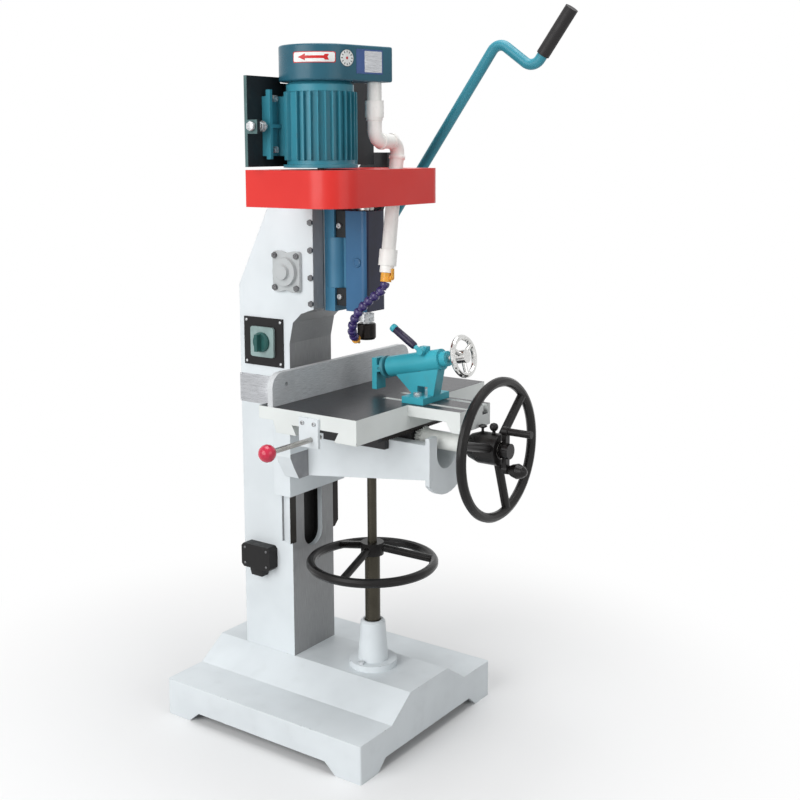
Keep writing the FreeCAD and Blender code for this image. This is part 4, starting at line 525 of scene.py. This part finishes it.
# %% Turn a piece and draw a line
def turned(name, rings, sides=32):
    """A turned piece about Z: each ring, a radius and a height, is pulled out of the last."""
    radius, height = rings[0]
    piece = primitive("circle", name, vertices=sides, radius=radius, fill_type="NGON",
                      location=(0, 0, height))
    bpy.ops.object.mode_set(mode="EDIT")
    bpy.ops.mesh.select_all(action="SELECT")
    for wide, high in rings[1:]:
        bpy.ops.mesh.extrude_region_move(TRANSFORM_OT_translate={"value": (0, 0, high - height)})
        share = wide / radius
        bpy.ops.transform.resize(value=(share, share, 1), center_override=(0, 0, high))
        radius, height = wide, high
    bpy.ops.mesh.select_all(action="SELECT")
    bpy.ops.mesh.normals_make_consistent(inside=False)
    bpy.ops.object.mode_set(mode="OBJECT")
    return piece


def drawn_line(name, points):
    """A line through points: a plane is merged to one corner, which is then pulled along."""
    piece = primitive("plane", name, size=0.001, location=points[0])
    bpy.ops.object.mode_set(mode="EDIT")
    bpy.ops.mesh.select_mode(type="VERT")
    bpy.ops.mesh.select_all(action="SELECT")
    bpy.ops.mesh.merge(type="CENTER")
    for last, spot in zip(points, points[1:]):
        step = Vector(spot) - Vector(last)
        bpy.ops.mesh.extrude_region_move(TRANSFORM_OT_translate={"value": step})
    bpy.ops.object.mode_set(mode="OBJECT")
    return piece


print("lathe ready")

# %% [markdown]
# With a mouse one clicks the faces to work on. In code they are picked by where their middle lies.
# The selection is written in object mode, because edit mode keeps a mesh of its own.

# %% Pick parts of a piece
def select_where(piece, kind, test):
    """Edit mode, with only the vertices, edges or faces selected whose middle passes a test."""
    work_on(piece)
    bpy.ops.object.mode_set(mode="EDIT")
    bpy.ops.mesh.select_mode(type=kind)
    bpy.ops.mesh.select_all(action="DESELECT")
    bpy.ops.object.mode_set(mode="OBJECT")
    corners = piece.data.vertices
    for part in {"VERT": corners, "EDGE": piece.data.edges, "FACE": piece.data.polygons}[kind]:
        if kind == "VERT":
            middle = part.co
        else:
            middle = sum((corners[i].co for i in part.vertices), Vector()) / len(part.vertices)
        part.select = bool(test(piece.matrix_world @ middle))
    bpy.ops.object.mode_set(mode="EDIT")


print("picking ready")

# %% [markdown]
# A piece is made about Z at the origin and then stood in its place. The place is applied to its
# mesh, because every object of the frame sits at the origin and a pattern on object coordinates
# would otherwise slide. Each copy has a mesh of its own, and the last helper smooths a piece,
# gives it its finish and lets it ride on a body.

# %% Place and finish a piece
def stand(piece, spot, way=(0, 0, 1), spin=0.0):
    """Stands a piece that was made about Z on a spot, looking along a way, and applies that."""
    work_on(piece)
    turn = Vector(way).to_track_quat("Z", "Y").to_matrix().to_4x4()
    piece.matrix_world = (Matrix.Translation(spot) @ turn @ Matrix.Rotation(spin, 4, "Z")
                          @ piece.matrix_world)
    bpy.ops.object.transform_apply(location=True, rotation=True, scale=True)
    return piece


def apply_all(piece):
    work_on(piece)
    for modifier in list(piece.modifiers):
        bpy.ops.object.modifier_apply(modifier=modifier.name)


def rounded(piece, width, segments=2, limit=35):
    """Rounds the sharp edges of a piece."""
    bevel = piece.modifiers.new("rounding", "BEVEL")
    bevel.width = width
    bevel.segments = segments
    bevel.limit_method = "ANGLE"
    bevel.angle_limit = math.radians(limit)
    apply_all(piece)
    return piece


def again(piece, name):
    """A copy with a mesh of its own."""
    copy = piece.copy()
    copy.data = piece.data.copy()
    copy.name = copy.data.name = name
    bpy.context.scene.collection.objects.link(copy)
    return copy


def joined(name, pieces):
    """Makes one piece of several."""
    clear_selection()
    for piece in pieces:
        piece.select_set(True)
    bpy.context.view_layer.objects.active = pieces[0]
    bpy.ops.object.join()
    pieces[0].name = pieces[0].data.name = name
    return pieces[0]


def finished(piece, finish, body, smooth=35):
    """Smooths a piece, gives it its finish and lets it ride on a body."""
    work_on(piece)
    bpy.ops.object.transform_apply(location=True, rotation=True, scale=True)
    bpy.ops.object.shade_smooth_by_angle(angle=math.radians(smooth))
    piece.data.materials.clear()
    piece.data.materials.append(finish)
    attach(piece, body)
    return piece


print("finishing helpers ready")

# %% [markdown]
# ## Ball-jointed air hose
# The blower's air reaches the chisel through a hose of plastic balls that snap into each other's
# sockets, so it stays where it is bent. Each link is one turned shape: a socket that swells, a
# shoulder and a waist where the next socket grips it. One link is modelled, then copied along a
# smooth curve, each copy looking along the curve where it sits.

# %% Route of the hose
hose_route = [mm(-28.9, -175, 938.2), mm(-30.8, -175, 926.4), mm(-42, -163, 914),
              mm(-56, -140, 893), mm(-64, -124, 868), mm(-60, -112, 842), mm(-50, -108, 828),
              mm(-38, -106, 820)]
link_pitch = 0.0152


def points_along(route, pitch):
    """Places at an equal pitch along the smooth curve of a route, and the curve's length."""
    curve = bpy.data.curves.new("route", "CURVE")
    curve.dimensions = "3D"
    spline = curve.splines.new("NURBS")
    spline.points.add(len(route) - 1)
    for point, spot in zip(spline.points, route):
        point.co = (*spot, 1)
    spline.order_u = 3
    spline.use_endpoint_u = True
    spline.resolution_u = 24
    holder = bpy.data.objects.new("route", curve)
    mesh = bpy.data.meshes.new_from_object(holder)
    line = [v.co.copy() for v in mesh.vertices]
    bpy.data.objects.remove(holder)
    total = sum((b - a).length for a, b in zip(line, line[1:]))
    count = max(1, round(total / pitch))
    spots, walked, target = [], 0.0, 0.0
    for a, b in zip(line, line[1:]):
        run = (b - a).length
        while walked + run >= target - 1e-9 and len(spots) <= count:
            spots.append(a.lerp(b, (target - walked) / run if run else 0))
            target += total / count
        walked += run
    while len(spots) <= count:
        spots.append(line[-1])
    return spots, total


spots, length = points_along(hose_route, link_pitch)
print("route:", round(length * 1000), "mm for", len(spots) - 1, "links")

# %% [markdown]
# The last ball holds an amber nozzle, which is turned too, with its bore as the last ring.

# %% Links and nozzle
link = turned("hose_link", [mm(6.2, 0.4), mm(8.0, 0.4), mm(9.0, 1.6), mm(9.5, 4.2), mm(9.4, 7.4),
                            mm(8.6, 9.6), mm(7.3, 11.2), mm(6.6, 12.4), mm(6.6, 15.6),
                            mm(5, 16.4)], 32)
links = []
for number, (low, high) in enumerate(zip(spots, spots[1:])):
    copy = again(link, f"hose_link_{number}")
    copy.scale = (1, 1, (high - low).length / link_pitch)
    links.append(stand(copy, low, high - low))
bpy.data.objects.remove(link)
hose = finished(joined("ball_hose", links), hose_purple, "head", 40)
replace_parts(hose, "air_hose")
tip = turned("hose_nozzle", [mm(8.4, 0), mm(9.3, 0.8), mm(9.3, 3.6), mm(8.4, 4.4), mm(6.2, 6.2),
                             mm(4.6, 9), mm(3.6, 13), mm(3.0, 17.4), mm(2.6, 18), mm(1.7, 18),
                             mm(1.6, 12)], 32)
stand(tip, hose_route[-1], Vector(hose_route[-1]) - Vector(hose_route[-2]))
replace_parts(finished(tip, fitting_amber, "head", 40), "air_nozzle")
print("hose:", len(hose.data.polygons), "faces")

# %% [markdown]
# The white pipe above the hose is glued up from elbows and straight lengths. Each joint shows as
# a short collar with a chamfered lip, so a collar is turned once and slid onto each joint.

# %% Pipe collars
collars = []
for spot, way in (((-62, -175, 1252), (0, 0, 1)), ((-37, -175, 1213), (-1, 0, 0)),
                  ((-9, -175, 1213), (1, 0, 0)), ((12, -175, 1186), (-0.16, 0, -1))):
    collar = turned("collar", [mm(13.9, 0), mm(15.6, 0.2), mm(16, 1), mm(16, 7), mm(15.6, 7.8),
                               mm(13.9, 8)], 40)
    collars.append(stand(collar, mm(*spot), way))
finished(joined("pipe_collars", collars), pipe_white, "head", 30)
print("collars:", len(collars))

# %% [markdown]
# ## Thread on the elevating screw
# The knee stands on a screw with a 6 mm trapezoidal thread. A thread is a short profile that is
# swept round and up at once, which is what the Screw modifier does. The profile is one pitch
# high, so each turn meets the last, and the plain ends of the rod close the tube.

# %% Elevating screw
thread_pitch = 0.006
thread = drawn_line("thread", [mm(16, 0, 180), mm(16, 0, 182.1), mm(18, 0, 183), mm(18, 0, 185.1),
                               mm(16, 0, 186)])
sweep = thread.modifiers.new("sweep", "SCREW")
sweep.screw_offset = thread_pitch
sweep.iterations = 29
sweep.steps = sweep.render_steps = 40
sweep.use_merge_vertices = True
apply_all(thread)
bpy.ops.object.mode_set(mode="EDIT")
bpy.ops.mesh.select_all(action="SELECT")
bpy.ops.mesh.remove_doubles(threshold=0.00001)
bpy.ops.mesh.fill_holes(sides=0)
bpy.ops.mesh.normals_make_consistent(inside=False)
bpy.ops.object.mode_set(mode="OBJECT")
rod = turned("screw_rod", [mm(14, 104), mm(15.9, 106), mm(15.9, 360), mm(17.9, 361), mm(17.9, 362),
                           mm(9.75, 362), mm(9.75, 559), mm(8.8, 560)], 48)
screw = joined("threaded_screw", [rod, thread])
stand(screw, mm(0, -115, 0))
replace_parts(finished(screw, thread_steel, "elevating_screw", 30), "elevating_screw")
print("thread:", len(screw.data.polygons), "faces")

# %% [markdown]
# ## Rounded blower drum
# The drum is a sand casting, so its rims and the corners of its snout are generously rounded. The
# frame has them sharp. A copy of the frame's own mesh is welded, its flat faces are dissolved to
# single faces, and the outer edges are picked by place and bevelled.

# %% Blower drum
drum = Vector(mm(-140, -105, 0))
cowl = again(nodes["blower_cowl"], "blower_drum")
low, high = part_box("blower_cowl")


def on_rim(spot, level):
    """True on the rim at this height, away from the inner edges and the mouth for the pipe."""
    over_pipe = -0.1 < spot.x < -0.04 and -0.192 < spot.y < -0.158
    far_out = math.hypot(spot.x - drum.x, spot.y - drum.y) > 0.0735
    return abs(spot.z - level) < 1e-5 and far_out and not over_pipe


work_on(cowl)
bpy.ops.object.mode_set(mode="EDIT")
bpy.ops.mesh.select_mode(type="VERT")
bpy.ops.mesh.select_all(action="SELECT")
bpy.ops.mesh.remove_doubles(threshold=0.00001)
bpy.ops.mesh.dissolve_limited(angle_limit=math.radians(1))
select_where(cowl, "EDGE", lambda p: p.x > high[0] - 0.022
             and low[2] + 0.02 < p.z < high[2] - 0.02)
bpy.ops.mesh.bevel(offset=0.007, segments=5)
for level in (low[2], high[2]):
    select_where(cowl, "EDGE", lambda p: on_rim(p, level))
    bpy.ops.mesh.bevel(offset=0.0035, segments=4)
bpy.ops.object.mode_set(mode="OBJECT")
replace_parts(finished(cowl, cowl_teal, "head", 35), "blower_cowl")
print("drum:", len(cowl.data.polygons), "faces")

# %% [markdown]
# ## Signs on the blower
# The drum carries three stick-on plates: an arrow that shows which way the motor must turn, a
# small dial and a blank plate. Each starts as a flat shape in front of the drum, is cut fine
# enough to bend, and is pressed onto it with a Shrinkwrap modifier. Solidify then gives the film
# its thickness.

# %% Stick-on plates
white_film = plastic("white_film", (238, 240, 238), 0.34, 0.000004)
red_ink = plastic("red_ink", (206, 40, 40), 0.36, 0.000002)
dark_ink = plastic("dark_ink", (40, 42, 46), 0.4, 0.000002)
plate_alloy = bare_metal("plate_alloy", (206, 208, 212), 0.3, (1, 1, 50), metal=0.8, oiled=0.08)
blue_film = plastic("blue_film", (70, 96, 150), 0.34, 0.000004)


def sheet_of(name, wide, high, corner, cell=0.003):
    """A flat sheet in small squares, with its corners rounded."""
    across, up = max(2, round(wide / cell)), max(2, round(high / cell))
    piece = primitive("grid", name, x_subdivisions=across, y_subdivisions=up, size=1)
    bpy.ops.object.mode_set(mode="EDIT")
    bpy.ops.mesh.select_all(action="SELECT")
    bpy.ops.transform.resize(value=(wide, high, 1), center_override=(0, 0, 0))
    if corner:
        select_where(piece, "VERT", lambda p: abs(abs(p.x) - wide / 2) < 1e-5
                     and abs(abs(p.y) - high / 2) < 1e-5)
        bpy.ops.mesh.bevel(offset=corner, segments=4, affect="VERTICES")
    bpy.ops.object.mode_set(mode="OBJECT")
    return piece


def pressed_on(piece, surface, spot, way, lift, thick=0.0003):
    """Presses a flat piece onto a surface that it faces, from a spot along a way."""
    work_on(piece)
    turn = Vector(way).to_track_quat("Z", "Y").to_matrix().to_4x4()
    piece.matrix_world = Matrix.Translation(spot) @ turn @ piece.matrix_world
    wrap = piece.modifiers.new("press", "SHRINKWRAP")
    wrap.target = surface
    wrap.wrap_method = "PROJECT"
    wrap.wrap_mode = "ABOVE_SURFACE"
    wrap.use_project_z = True
    wrap.use_negative_direction = True
    wrap.use_positive_direction = False
    wrap.offset = lift
    film = piece.modifiers.new("film", "SOLIDIFY")
    film.thickness = thick
    film.offset = 1.0
    apply_all(piece)
    bpy.ops.object.transform_apply(location=True, rotation=True, scale=True)
    return piece


def off_drum(angle, height, out=0.1):
    """A spot in front of the drum at a height in millimetres, and the way out from there."""
    way = Vector((math.cos(math.radians(angle)), math.sin(math.radians(angle)), 0))
    return drum + way * out + Vector((0, 0, height / 1000)), way


print("films:", white_film.name, red_ink.name, dark_ink.name, blue_film.name)

# %% [markdown]
# The arrow is one strip of squares. Its left end is pulled out wide and then tapers to a tip. Its
# right end is pulled out and widened for the feathers, and then their end is notched.

# %% Arrow plate
def arrow(name):
    """A red arrow that points left: a shaft, a head that tapers and a feathered tail."""
    piece = primitive("grid", name, x_subdivisions=14, y_subdivisions=2, size=1)
    bpy.ops.object.mode_set(mode="EDIT")
    bpy.ops.mesh.select_all(action="SELECT")
    bpy.ops.transform.resize(value=mm(32, 5, 1000), center_override=(0, 0, 0))
    left, right = -0.016, 0.016
    select_where(piece, "EDGE", lambda p: p.x < left + 1e-4)
    bpy.ops.mesh.extrude_region_move(TRANSFORM_OT_translate={"value": (0, 0, 0)})
    bpy.ops.transform.resize(value=(1, 2.5, 1), center_override=(left, 0, 0))
    for share in (0.75, 0.667, 0.5, 0.1):
        bpy.ops.mesh.extrude_region_move(TRANSFORM_OT_translate={"value": mm(-3.4, 0, 0)})
        bpy.ops.transform.resize(value=(1, share, 1), center_override=(left, 0, 0))
    select_where(piece, "EDGE", lambda p: p.x > right - 1e-4)
    for wide, step in ((1.0, 2), (2.1, 2.4), (1.0, 4), (1.0, 3)):
        bpy.ops.mesh.extrude_region_move(TRANSFORM_OT_translate={"value": mm(step, 0, 0)})
        bpy.ops.transform.resize(value=(1, wide, 1), center_override=(right, 0, 0))
    bpy.ops.object.mode_set(mode="OBJECT")
    select_where(piece, "VERT", lambda p: p.x > 0.02 and abs(p.y) < 1e-5)
    bpy.ops.transform.translate(value=mm(-2.6, 0, 0))
    bpy.ops.mesh.select_all(action="SELECT")
    bpy.ops.mesh.normals_make_consistent(inside=False)
    bpy.ops.object.mode_set(mode="OBJECT")
    return piece


spot, way = off_drum(-148.8, 1365.4)
arrow_films = ((sheet_of("arrow_rim", *mm(78, 20, 8)), 0.0002, red_ink),
               (sheet_of("arrow_plate", *mm(75.4, 17.4, 7)), 0.0004, white_film),
               (arrow("arrow"), 0.0006, red_ink))
for piece, lift, finish in arrow_films:
    finished(pressed_on(piece, cowl, spot, way, lift), finish, "head", 50)
print("arrow plate on the drum")

# %% [markdown]
# The dial is a round white plate with twelve ticks and a red dot. The disc is inset ring by ring,
# because a single face can't follow the drum, and each tick is a small bar turned to its hour.

# %% Dial
def round_sheet(name, radius):
    """A flat disc, inset ring by ring so that it can bend."""
    piece = primitive("circle", name, vertices=40, radius=radius, fill_type="NGON")
    bpy.ops.object.mode_set(mode="EDIT")
    bpy.ops.mesh.select_all(action="SELECT")
    for _ in range(5):
        bpy.ops.mesh.inset(thickness=radius / 6)
    bpy.ops.object.mode_set(mode="OBJECT")
    return piece


spot, way = off_drum(-100.2, 1364.6)
dial_films = [(round_sheet("dial_rim", 0.0156), 0.0002, dark_ink),
              (round_sheet("dial", 0.015), 0.0004, white_film),
              (round_sheet("dial_dot", 0.0026), 0.0006, red_ink)]
ticks = []
for number in range(12):
    tick = sheet_of(f"tick_{number}", *mm(3.4, 1.5, 0))
    angle = math.radians(30 * number)
    tick.matrix_world = Matrix.Rotation(angle, 4, "Z") @ Matrix.Translation(mm(11.4, 0, 0))
    work_on(tick)
    bpy.ops.object.transform_apply(location=True, rotation=True, scale=True)
    ticks.append(tick)
dial_films.append((joined("dial_ticks", ticks), 0.0006, dark_ink))
for piece, lift, finish in dial_films:
    finished(pressed_on(piece, cowl, spot, way, lift), finish, "head", 50)
print("dial:", len(ticks), "ticks")

# %% [markdown]
# The side of the snout leans 13 degrees from the machine's own axes, so the blank plate and its
# blue rim are set out along that side and pressed square onto it.

# %% Blank plate
snout_lean = math.radians(13)
along = Vector((math.cos(snout_lean), -math.sin(snout_lean), 0))
out_way = Vector((-math.sin(snout_lean), -math.cos(snout_lean), 0))
snout_films = (("blank_rim", mm(64, 45, 1.5), 0.058, 0.0002, blue_film),
               ("blank_plate", mm(42, 39, 1), 0.067, 0.0004, plate_alloy))
for name, shape, shift, lift, finish in snout_films:
    middle = drum + along * shift + out_way * 0.1 + Vector(mm(0, 0, 1360))
    finished(pressed_on(sheet_of(name, *shape), cowl, middle, out_way, lift), finish, "head", 50)
print("blank plate", [round(v, 3) for v in middle])

# %% [markdown]
# ## Nameplate
# A riveted aluminium plate sits on the left side of the column. It stays blank: a frame line is
# pressed into it and a round-headed rivet holds each corner.

# %% Nameplate
def flat_plate(name, wide, high, thick, corner):
    """A plate that lies on z = 0, with round corners and a softened rim."""
    piece = primitive("cube", name, size=1, location=(0, 0, 0.5))
    bpy.ops.object.mode_set(mode="EDIT")
    bpy.ops.mesh.select_all(action="SELECT")
    bpy.ops.transform.resize(value=(wide, high, thick), center_override=(0, 0, 0))
    select_where(piece, "EDGE", lambda p: abs(p.z - thick / 2) < 1e-6)
    bpy.ops.mesh.bevel(offset=corner, segments=5)
    select_where(piece, "FACE", lambda p: p.z > thick - 1e-6)
    bpy.ops.mesh.bevel(offset=thick * 0.35, segments=2)
    bpy.ops.object.mode_set(mode="OBJECT")
    return piece


plate_y, plate_z = 139.5, 694.5
for name, shape, start in (("nameplate", mm(62, 90, 0.8, 3), -68.1),
                           ("nameplate_field", mm(50, 78, 0.3, 1), -68.9)):
    plate = stand(flat_plate(name, *shape), mm(start, plate_y, plate_z), (-1, 0, 0), math.pi / 2)
    finished(plate, plate_alloy, "frame", 30)


def round_head(name, radius, height):
    """A domed head, as on a rivet or a pan-head screw."""
    return turned(name, [mm(radius, 0), mm(radius, height * 0.3), mm(radius * 0.86, height * 0.7),
                         mm(radius * 0.55, height * 0.95), mm(radius * 0.2, height)], 20)


def repeat(name, piece, spots, way, finish, body, smooth=40):
    """Copies of a small piece at several spots, all looking one way, as one piece."""
    copies = [stand(again(piece, f"{name}_{i}"), spot, way) for i, spot in enumerate(spots)]
    bpy.data.objects.remove(piece)
    return finished(joined(name, copies), finish, body, smooth)


def four_corners(x, y, z, half_y, half_z):
    """The corners of a plate on the left side of the machine, in millimetres round its middle."""
    return [mm(x, y + i * half_y, z + k * half_z) for i in (-1, 1) for k in (-1, 1)]


left_side = (-1, 0, 0)
repeat("rivets", round_head("rivet", 2.2, 1.4), four_corners(-68.8, plate_y, plate_z, 41, 28),
       left_side, zinc, "frame")
print("nameplate on the column")

# %% [markdown]
# ## Small fasteners
# Cap screws hold the spindle blocks and the stop plate, and pan-head screws hold the switch plate
# and the cable box. A screw is turned like any round piece. The head is chamfered, and its socket
# is an inner ring pushed back down.

# %% Screws
def cap_screw(name, radius, height):
    """A round head with a chamfer and a sunk socket."""
    return turned(name, [mm(radius, 0), mm(radius, height - 0.6), mm(radius - 0.6, height),
                         mm(radius * 0.55, height), mm(radius * 0.5, height * 0.4)], 24)


for side, name in ((-1, "left"), (1, "right")):
    repeat(f"block_screws_{name}", cap_screw("cap", 5.6, 5),
           [mm(side * 24, -57, z) for z in (900.2, 1044.5)], (side, 0, 0), zinc, "head")
repeat("stop_screws", cap_screw("cap", 4.2, 3.4), [mm(-230, y, 687) for y in (-125.4, -153.8)],
       left_side, zinc, "table")
repeat("switch_screws", round_head("pan", 3.2, 1.8), four_corners(-71, 113.5, 798, 47, 44),
       left_side, zinc, "frame")
repeat("box_screws", round_head("pan", 2.8, 1.4), four_corners(-94, 128, 332, 30, 17),
       left_side, screw_steel, "frame")
print("screws placed")

# %% [markdown]
# The belt is tensioned by a long bolt that pushes the motor's foot, with a lock nut and a washer
# on it. Its four parts are one piece. A recessed plug covers the side of the spindle housing.

# %% Tension bolt and plug
def hexagon_head(name, radius, height):
    """A hexagon whose top edge is turned down, as on a rolled bolt."""
    head = turned(name, [mm(radius, 0), mm(radius, height * 0.85), mm(radius * 0.88, height)], 6)
    return rounded(head, 0.0003, 1)


bolt_y, bolt_z = -45, 1241
rod = turned("push_rod", [mm(3.6, 0), mm(4.5, 1), mm(4.5, 42)], 24)
stand(rod, mm(-226, bolt_y, bolt_z), left_side)
parts = [rod]
for name, start, radius, height in (("push_head", -266, 9.5, 7), ("push_nut", -238, 8.5, 7)):
    head = hexagon_head(name, radius, height)
    parts.append(stand(head, mm(start, bolt_y, bolt_z), left_side))
washer = turned("push_washer", [mm(10.5, 0), mm(10.5, 1.6), mm(5, 1.6)], 24)
parts.append(stand(washer, mm(-236.2, bolt_y, bolt_z), left_side))
finished(joined("tension_bolt", parts), zinc, "head")
plug = turned("housing_plug", [mm(9.5, 0), mm(9.5, 1.8), mm(8.8, 2.8), mm(6.2, 3.2), mm(5.6, 2.2),
                               mm(2, 2.2)], 28)
finished(stand(plug, mm(-34.6, -108.5, 973), left_side), housing_blue, "head", 30)
print("bolt of", len(parts), "parts and plug placed")

# %% [markdown]
# ## Clamping lever
# The clamp is locked by a short lever: a boss on the clamp's pin, a stem, a thick rubber grip and
# a coloured cap. All but the boss are turned along the line of the stem, so each is made upright
# first and then laid on that line.

# %% Clamping lever
lever_from, lever_to = Vector(mm(-21, -252, 806)), Vector(mm(-21, -183.5, 849.5))
lever_way = lever_to - lever_from
run = lever_way.length * 1000
boss = stand(turned("lever_boss", [mm(7.5, 0), mm(7.5, 10.7), mm(6.6, 11.7), mm(2, 11.7)], 28),
             mm(-27, -254, 806), (1, 0, 0))
stem = stand(turned("lever_stem", [mm(4.5, 0), mm(4.5, 20), mm(3, 21)], 20), lever_from, lever_way)
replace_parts(finished(joined("lever_foot", [boss, stem]), clamp_teal, "lock_lever"), "lock_lever")
grip = turned("lever_handle", [mm(4, 14), mm(6.4, 15), mm(7.4, 17), mm(8, 30), mm(7.6, run - 12),
                               mm(7.2, run - 11), mm(4, run - 11)], 28)
finished(stand(grip, lever_from, lever_way), grip_violet, "lock_lever", 40)
cap = turned("lever_cap", [mm(7.2, run - 11), mm(8.2, run - 10), mm(8.4, run - 5),
                           mm(7.4, run - 1.4), mm(4.5, run - 0.2), mm(1.5, run)], 28)
finished(stand(cap, lever_from, lever_way), clamp_teal, "lock_lever", 50)
print("lever", round(run), "mm long")

# %% [markdown]
# ## Gland block
# The cable box ends in a flat block that narrows downwards, with a raised mouth for a cable. A
# cube is resized, its lower face is drawn in and inset, and the mouth is pulled out of it.

# %% Gland block
gland = primitive("cube", "gland_block", size=1, location=mm(-81, 128, 298))
bpy.ops.object.mode_set(mode="EDIT")
bpy.ops.transform.resize(value=mm(22, 38, 16), center_override=mm(-81, 128, 298))
select_where(gland, "FACE", lambda p: p.z < 0.2905)
bpy.ops.transform.resize(value=(0.86, 0.8, 1), center_override=mm(-81, 128, 290))
bpy.ops.mesh.inset(thickness=0.0035)
bpy.ops.mesh.extrude_region_move(TRANSFORM_OT_translate={"value": mm(0, 0, -2)})
bpy.ops.object.mode_set(mode="OBJECT")
finished(rounded(gland, 0.0016, 3), moulded_black, "frame", 40)
print("gland:", len(gland.data.polygons), "faces")

# %% [markdown]
# ## Knobs on the large wheel
# A thumb screw and a round knob stand on the hub of the large wheel. A round head on a thin neck
# is a lathe's work, so each is one profile, turned.

# %% Knobs
thumb = turned("thumb_screw", [mm(2.6, 0), mm(2.6, 8), mm(5.4, 8.6), mm(8.6, 10.4), mm(8.8, 12),
                               mm(6.4, 14), mm(2, 14.8)], 28)
finished(stand(thumb, mm(0, -383, 658), (0, 0, 1)), wheel_black, "table_wheel", 40)
knob = turned("round_knob", [mm(3.6, 0), mm(3.2, 5), mm(6.2, 7), mm(8.3, 11), mm(8.3, 15),
                             mm(6.2, 19), mm(2.2, 20.6)], 28)
finished(stand(knob, mm(0, -408, 658), (0, 0, 1)), wheel_black, "table_wheel", 50)
print("knobs on the wheel's hub")

# %% [markdown]
# ## Floor and backdrop
# The machine stands on a pale studio floor that fades into white. The fade is in the floor's own
# material, by distance from the machine. What the camera or polished metal sees straight is pale,
# while the light that bounces off the floor is dimmer, which keeps the undersides dark.

# %% Floor
def looked_at(tree):
    """1 for what the camera sees straight, in polish or through glass, and 0 for other light."""
    path = add(tree, "LightPath").outputs
    seen = path["Is Camera Ray"]
    for other in ("Is Glossy Ray", "Is Transmission Ray"):
        seen = add(tree, "Math", {0: seen, 1: path[other]}, operation="MAXIMUM").outputs[0]
    return seen


def studio_floor():
    """A wide disc whose colour fades into white away from the machine."""
    clear_selection()
    bpy.ops.mesh.primitive_circle_add(vertices=96, radius=6.0, fill_type="NGON")
    floor = bpy.context.object
    floor.name = "floor"
    made, tree, shader = new_finish("studio_floor", Roughness=0.55)
    spot = add(tree, "TexCoord").outputs["Object"]
    away = add(tree, "VectorMath", {0: spot}, operation="LENGTH").outputs["Value"]
    seen = looked_at(tree)
    tone = mix(tree, seen, (0.55, 0.55, 0.55, 1), (0.88, 0.88, 0.88, 1))
    tree.links.new(tone, shader.inputs["Base Color"])
    fade = times(tree, ramp(tree, away, 0.35, 1.1), seen)
    white = add(tree, "Emission", {"Color": (1, 1, 1, 1), "Strength": 1.0}).outputs[0]
    whole = add(tree, "MixShader", {0: fade, 1: shader.outputs[0], 2: white}).outputs[0]
    tree.links.new(whole, tree.nodes["Material Output"].inputs["Surface"])
    floor.data.materials.append(made)
    return floor


print("floor:", studio_floor().name)

# %% [markdown]
# ## Light
# A large soft lamp on the left stands for the window of the studio, a weaker one fills the front
# and a third hangs overhead. A dim world keeps the shadows open. The camera sees the world as
# plain white, and so do polished parts.

# %% World and lamps
def studio_world(strength):
    """A dim sky for light, and a plain white one for what looks straight at it."""
    world = bpy.data.worlds.new("studio")
    bpy.context.scene.world = world
    world.use_nodes = True
    tree = world.node_tree
    tree.nodes.clear()
    dim = add(tree, "Background", {"Color": (0.96, 0.98, 1, 1), "Strength": strength}).outputs[0]
    white = add(tree, "Background", {"Color": (1, 1, 1, 1), "Strength": 1.0}).outputs[0]
    out = add(tree, "OutputWorld")
    tree.links.new(add(tree, "MixShader", {0: looked_at(tree), 1: dim, 2: white}).outputs[0],
                   out.inputs["Surface"])


def soft_lamp(name, spot, aim, width, power):
    """A rectangular lamp that stands at a spot and looks at another."""
    lamp = bpy.data.lights.new(name, "AREA")
    lamp.shape = "RECTANGLE"
    lamp.size, lamp.size_y = width
    lamp.energy = power
    holder = bpy.data.objects.new(name, lamp)
    bpy.context.scene.collection.objects.link(holder)
    holder.location = spot
    holder.rotation_euler = (Vector(aim) - Vector(spot)).to_track_quat("-Z", "Y").to_euler()


studio_world(0.28)
soft_lamp("window", (-3.2, 0.3, 1.8), (0, 0, 0.7), (2.4, 2.8), 86)
soft_lamp("front_fill", (-0.6, -3.4, 1.6), (0, 0, 0.8), (2.0, 2.0), 22)
soft_lamp("overhead", (0.2, -0.2, 3.6), (0, 0, 0.6), (2.0, 2.0), 64)
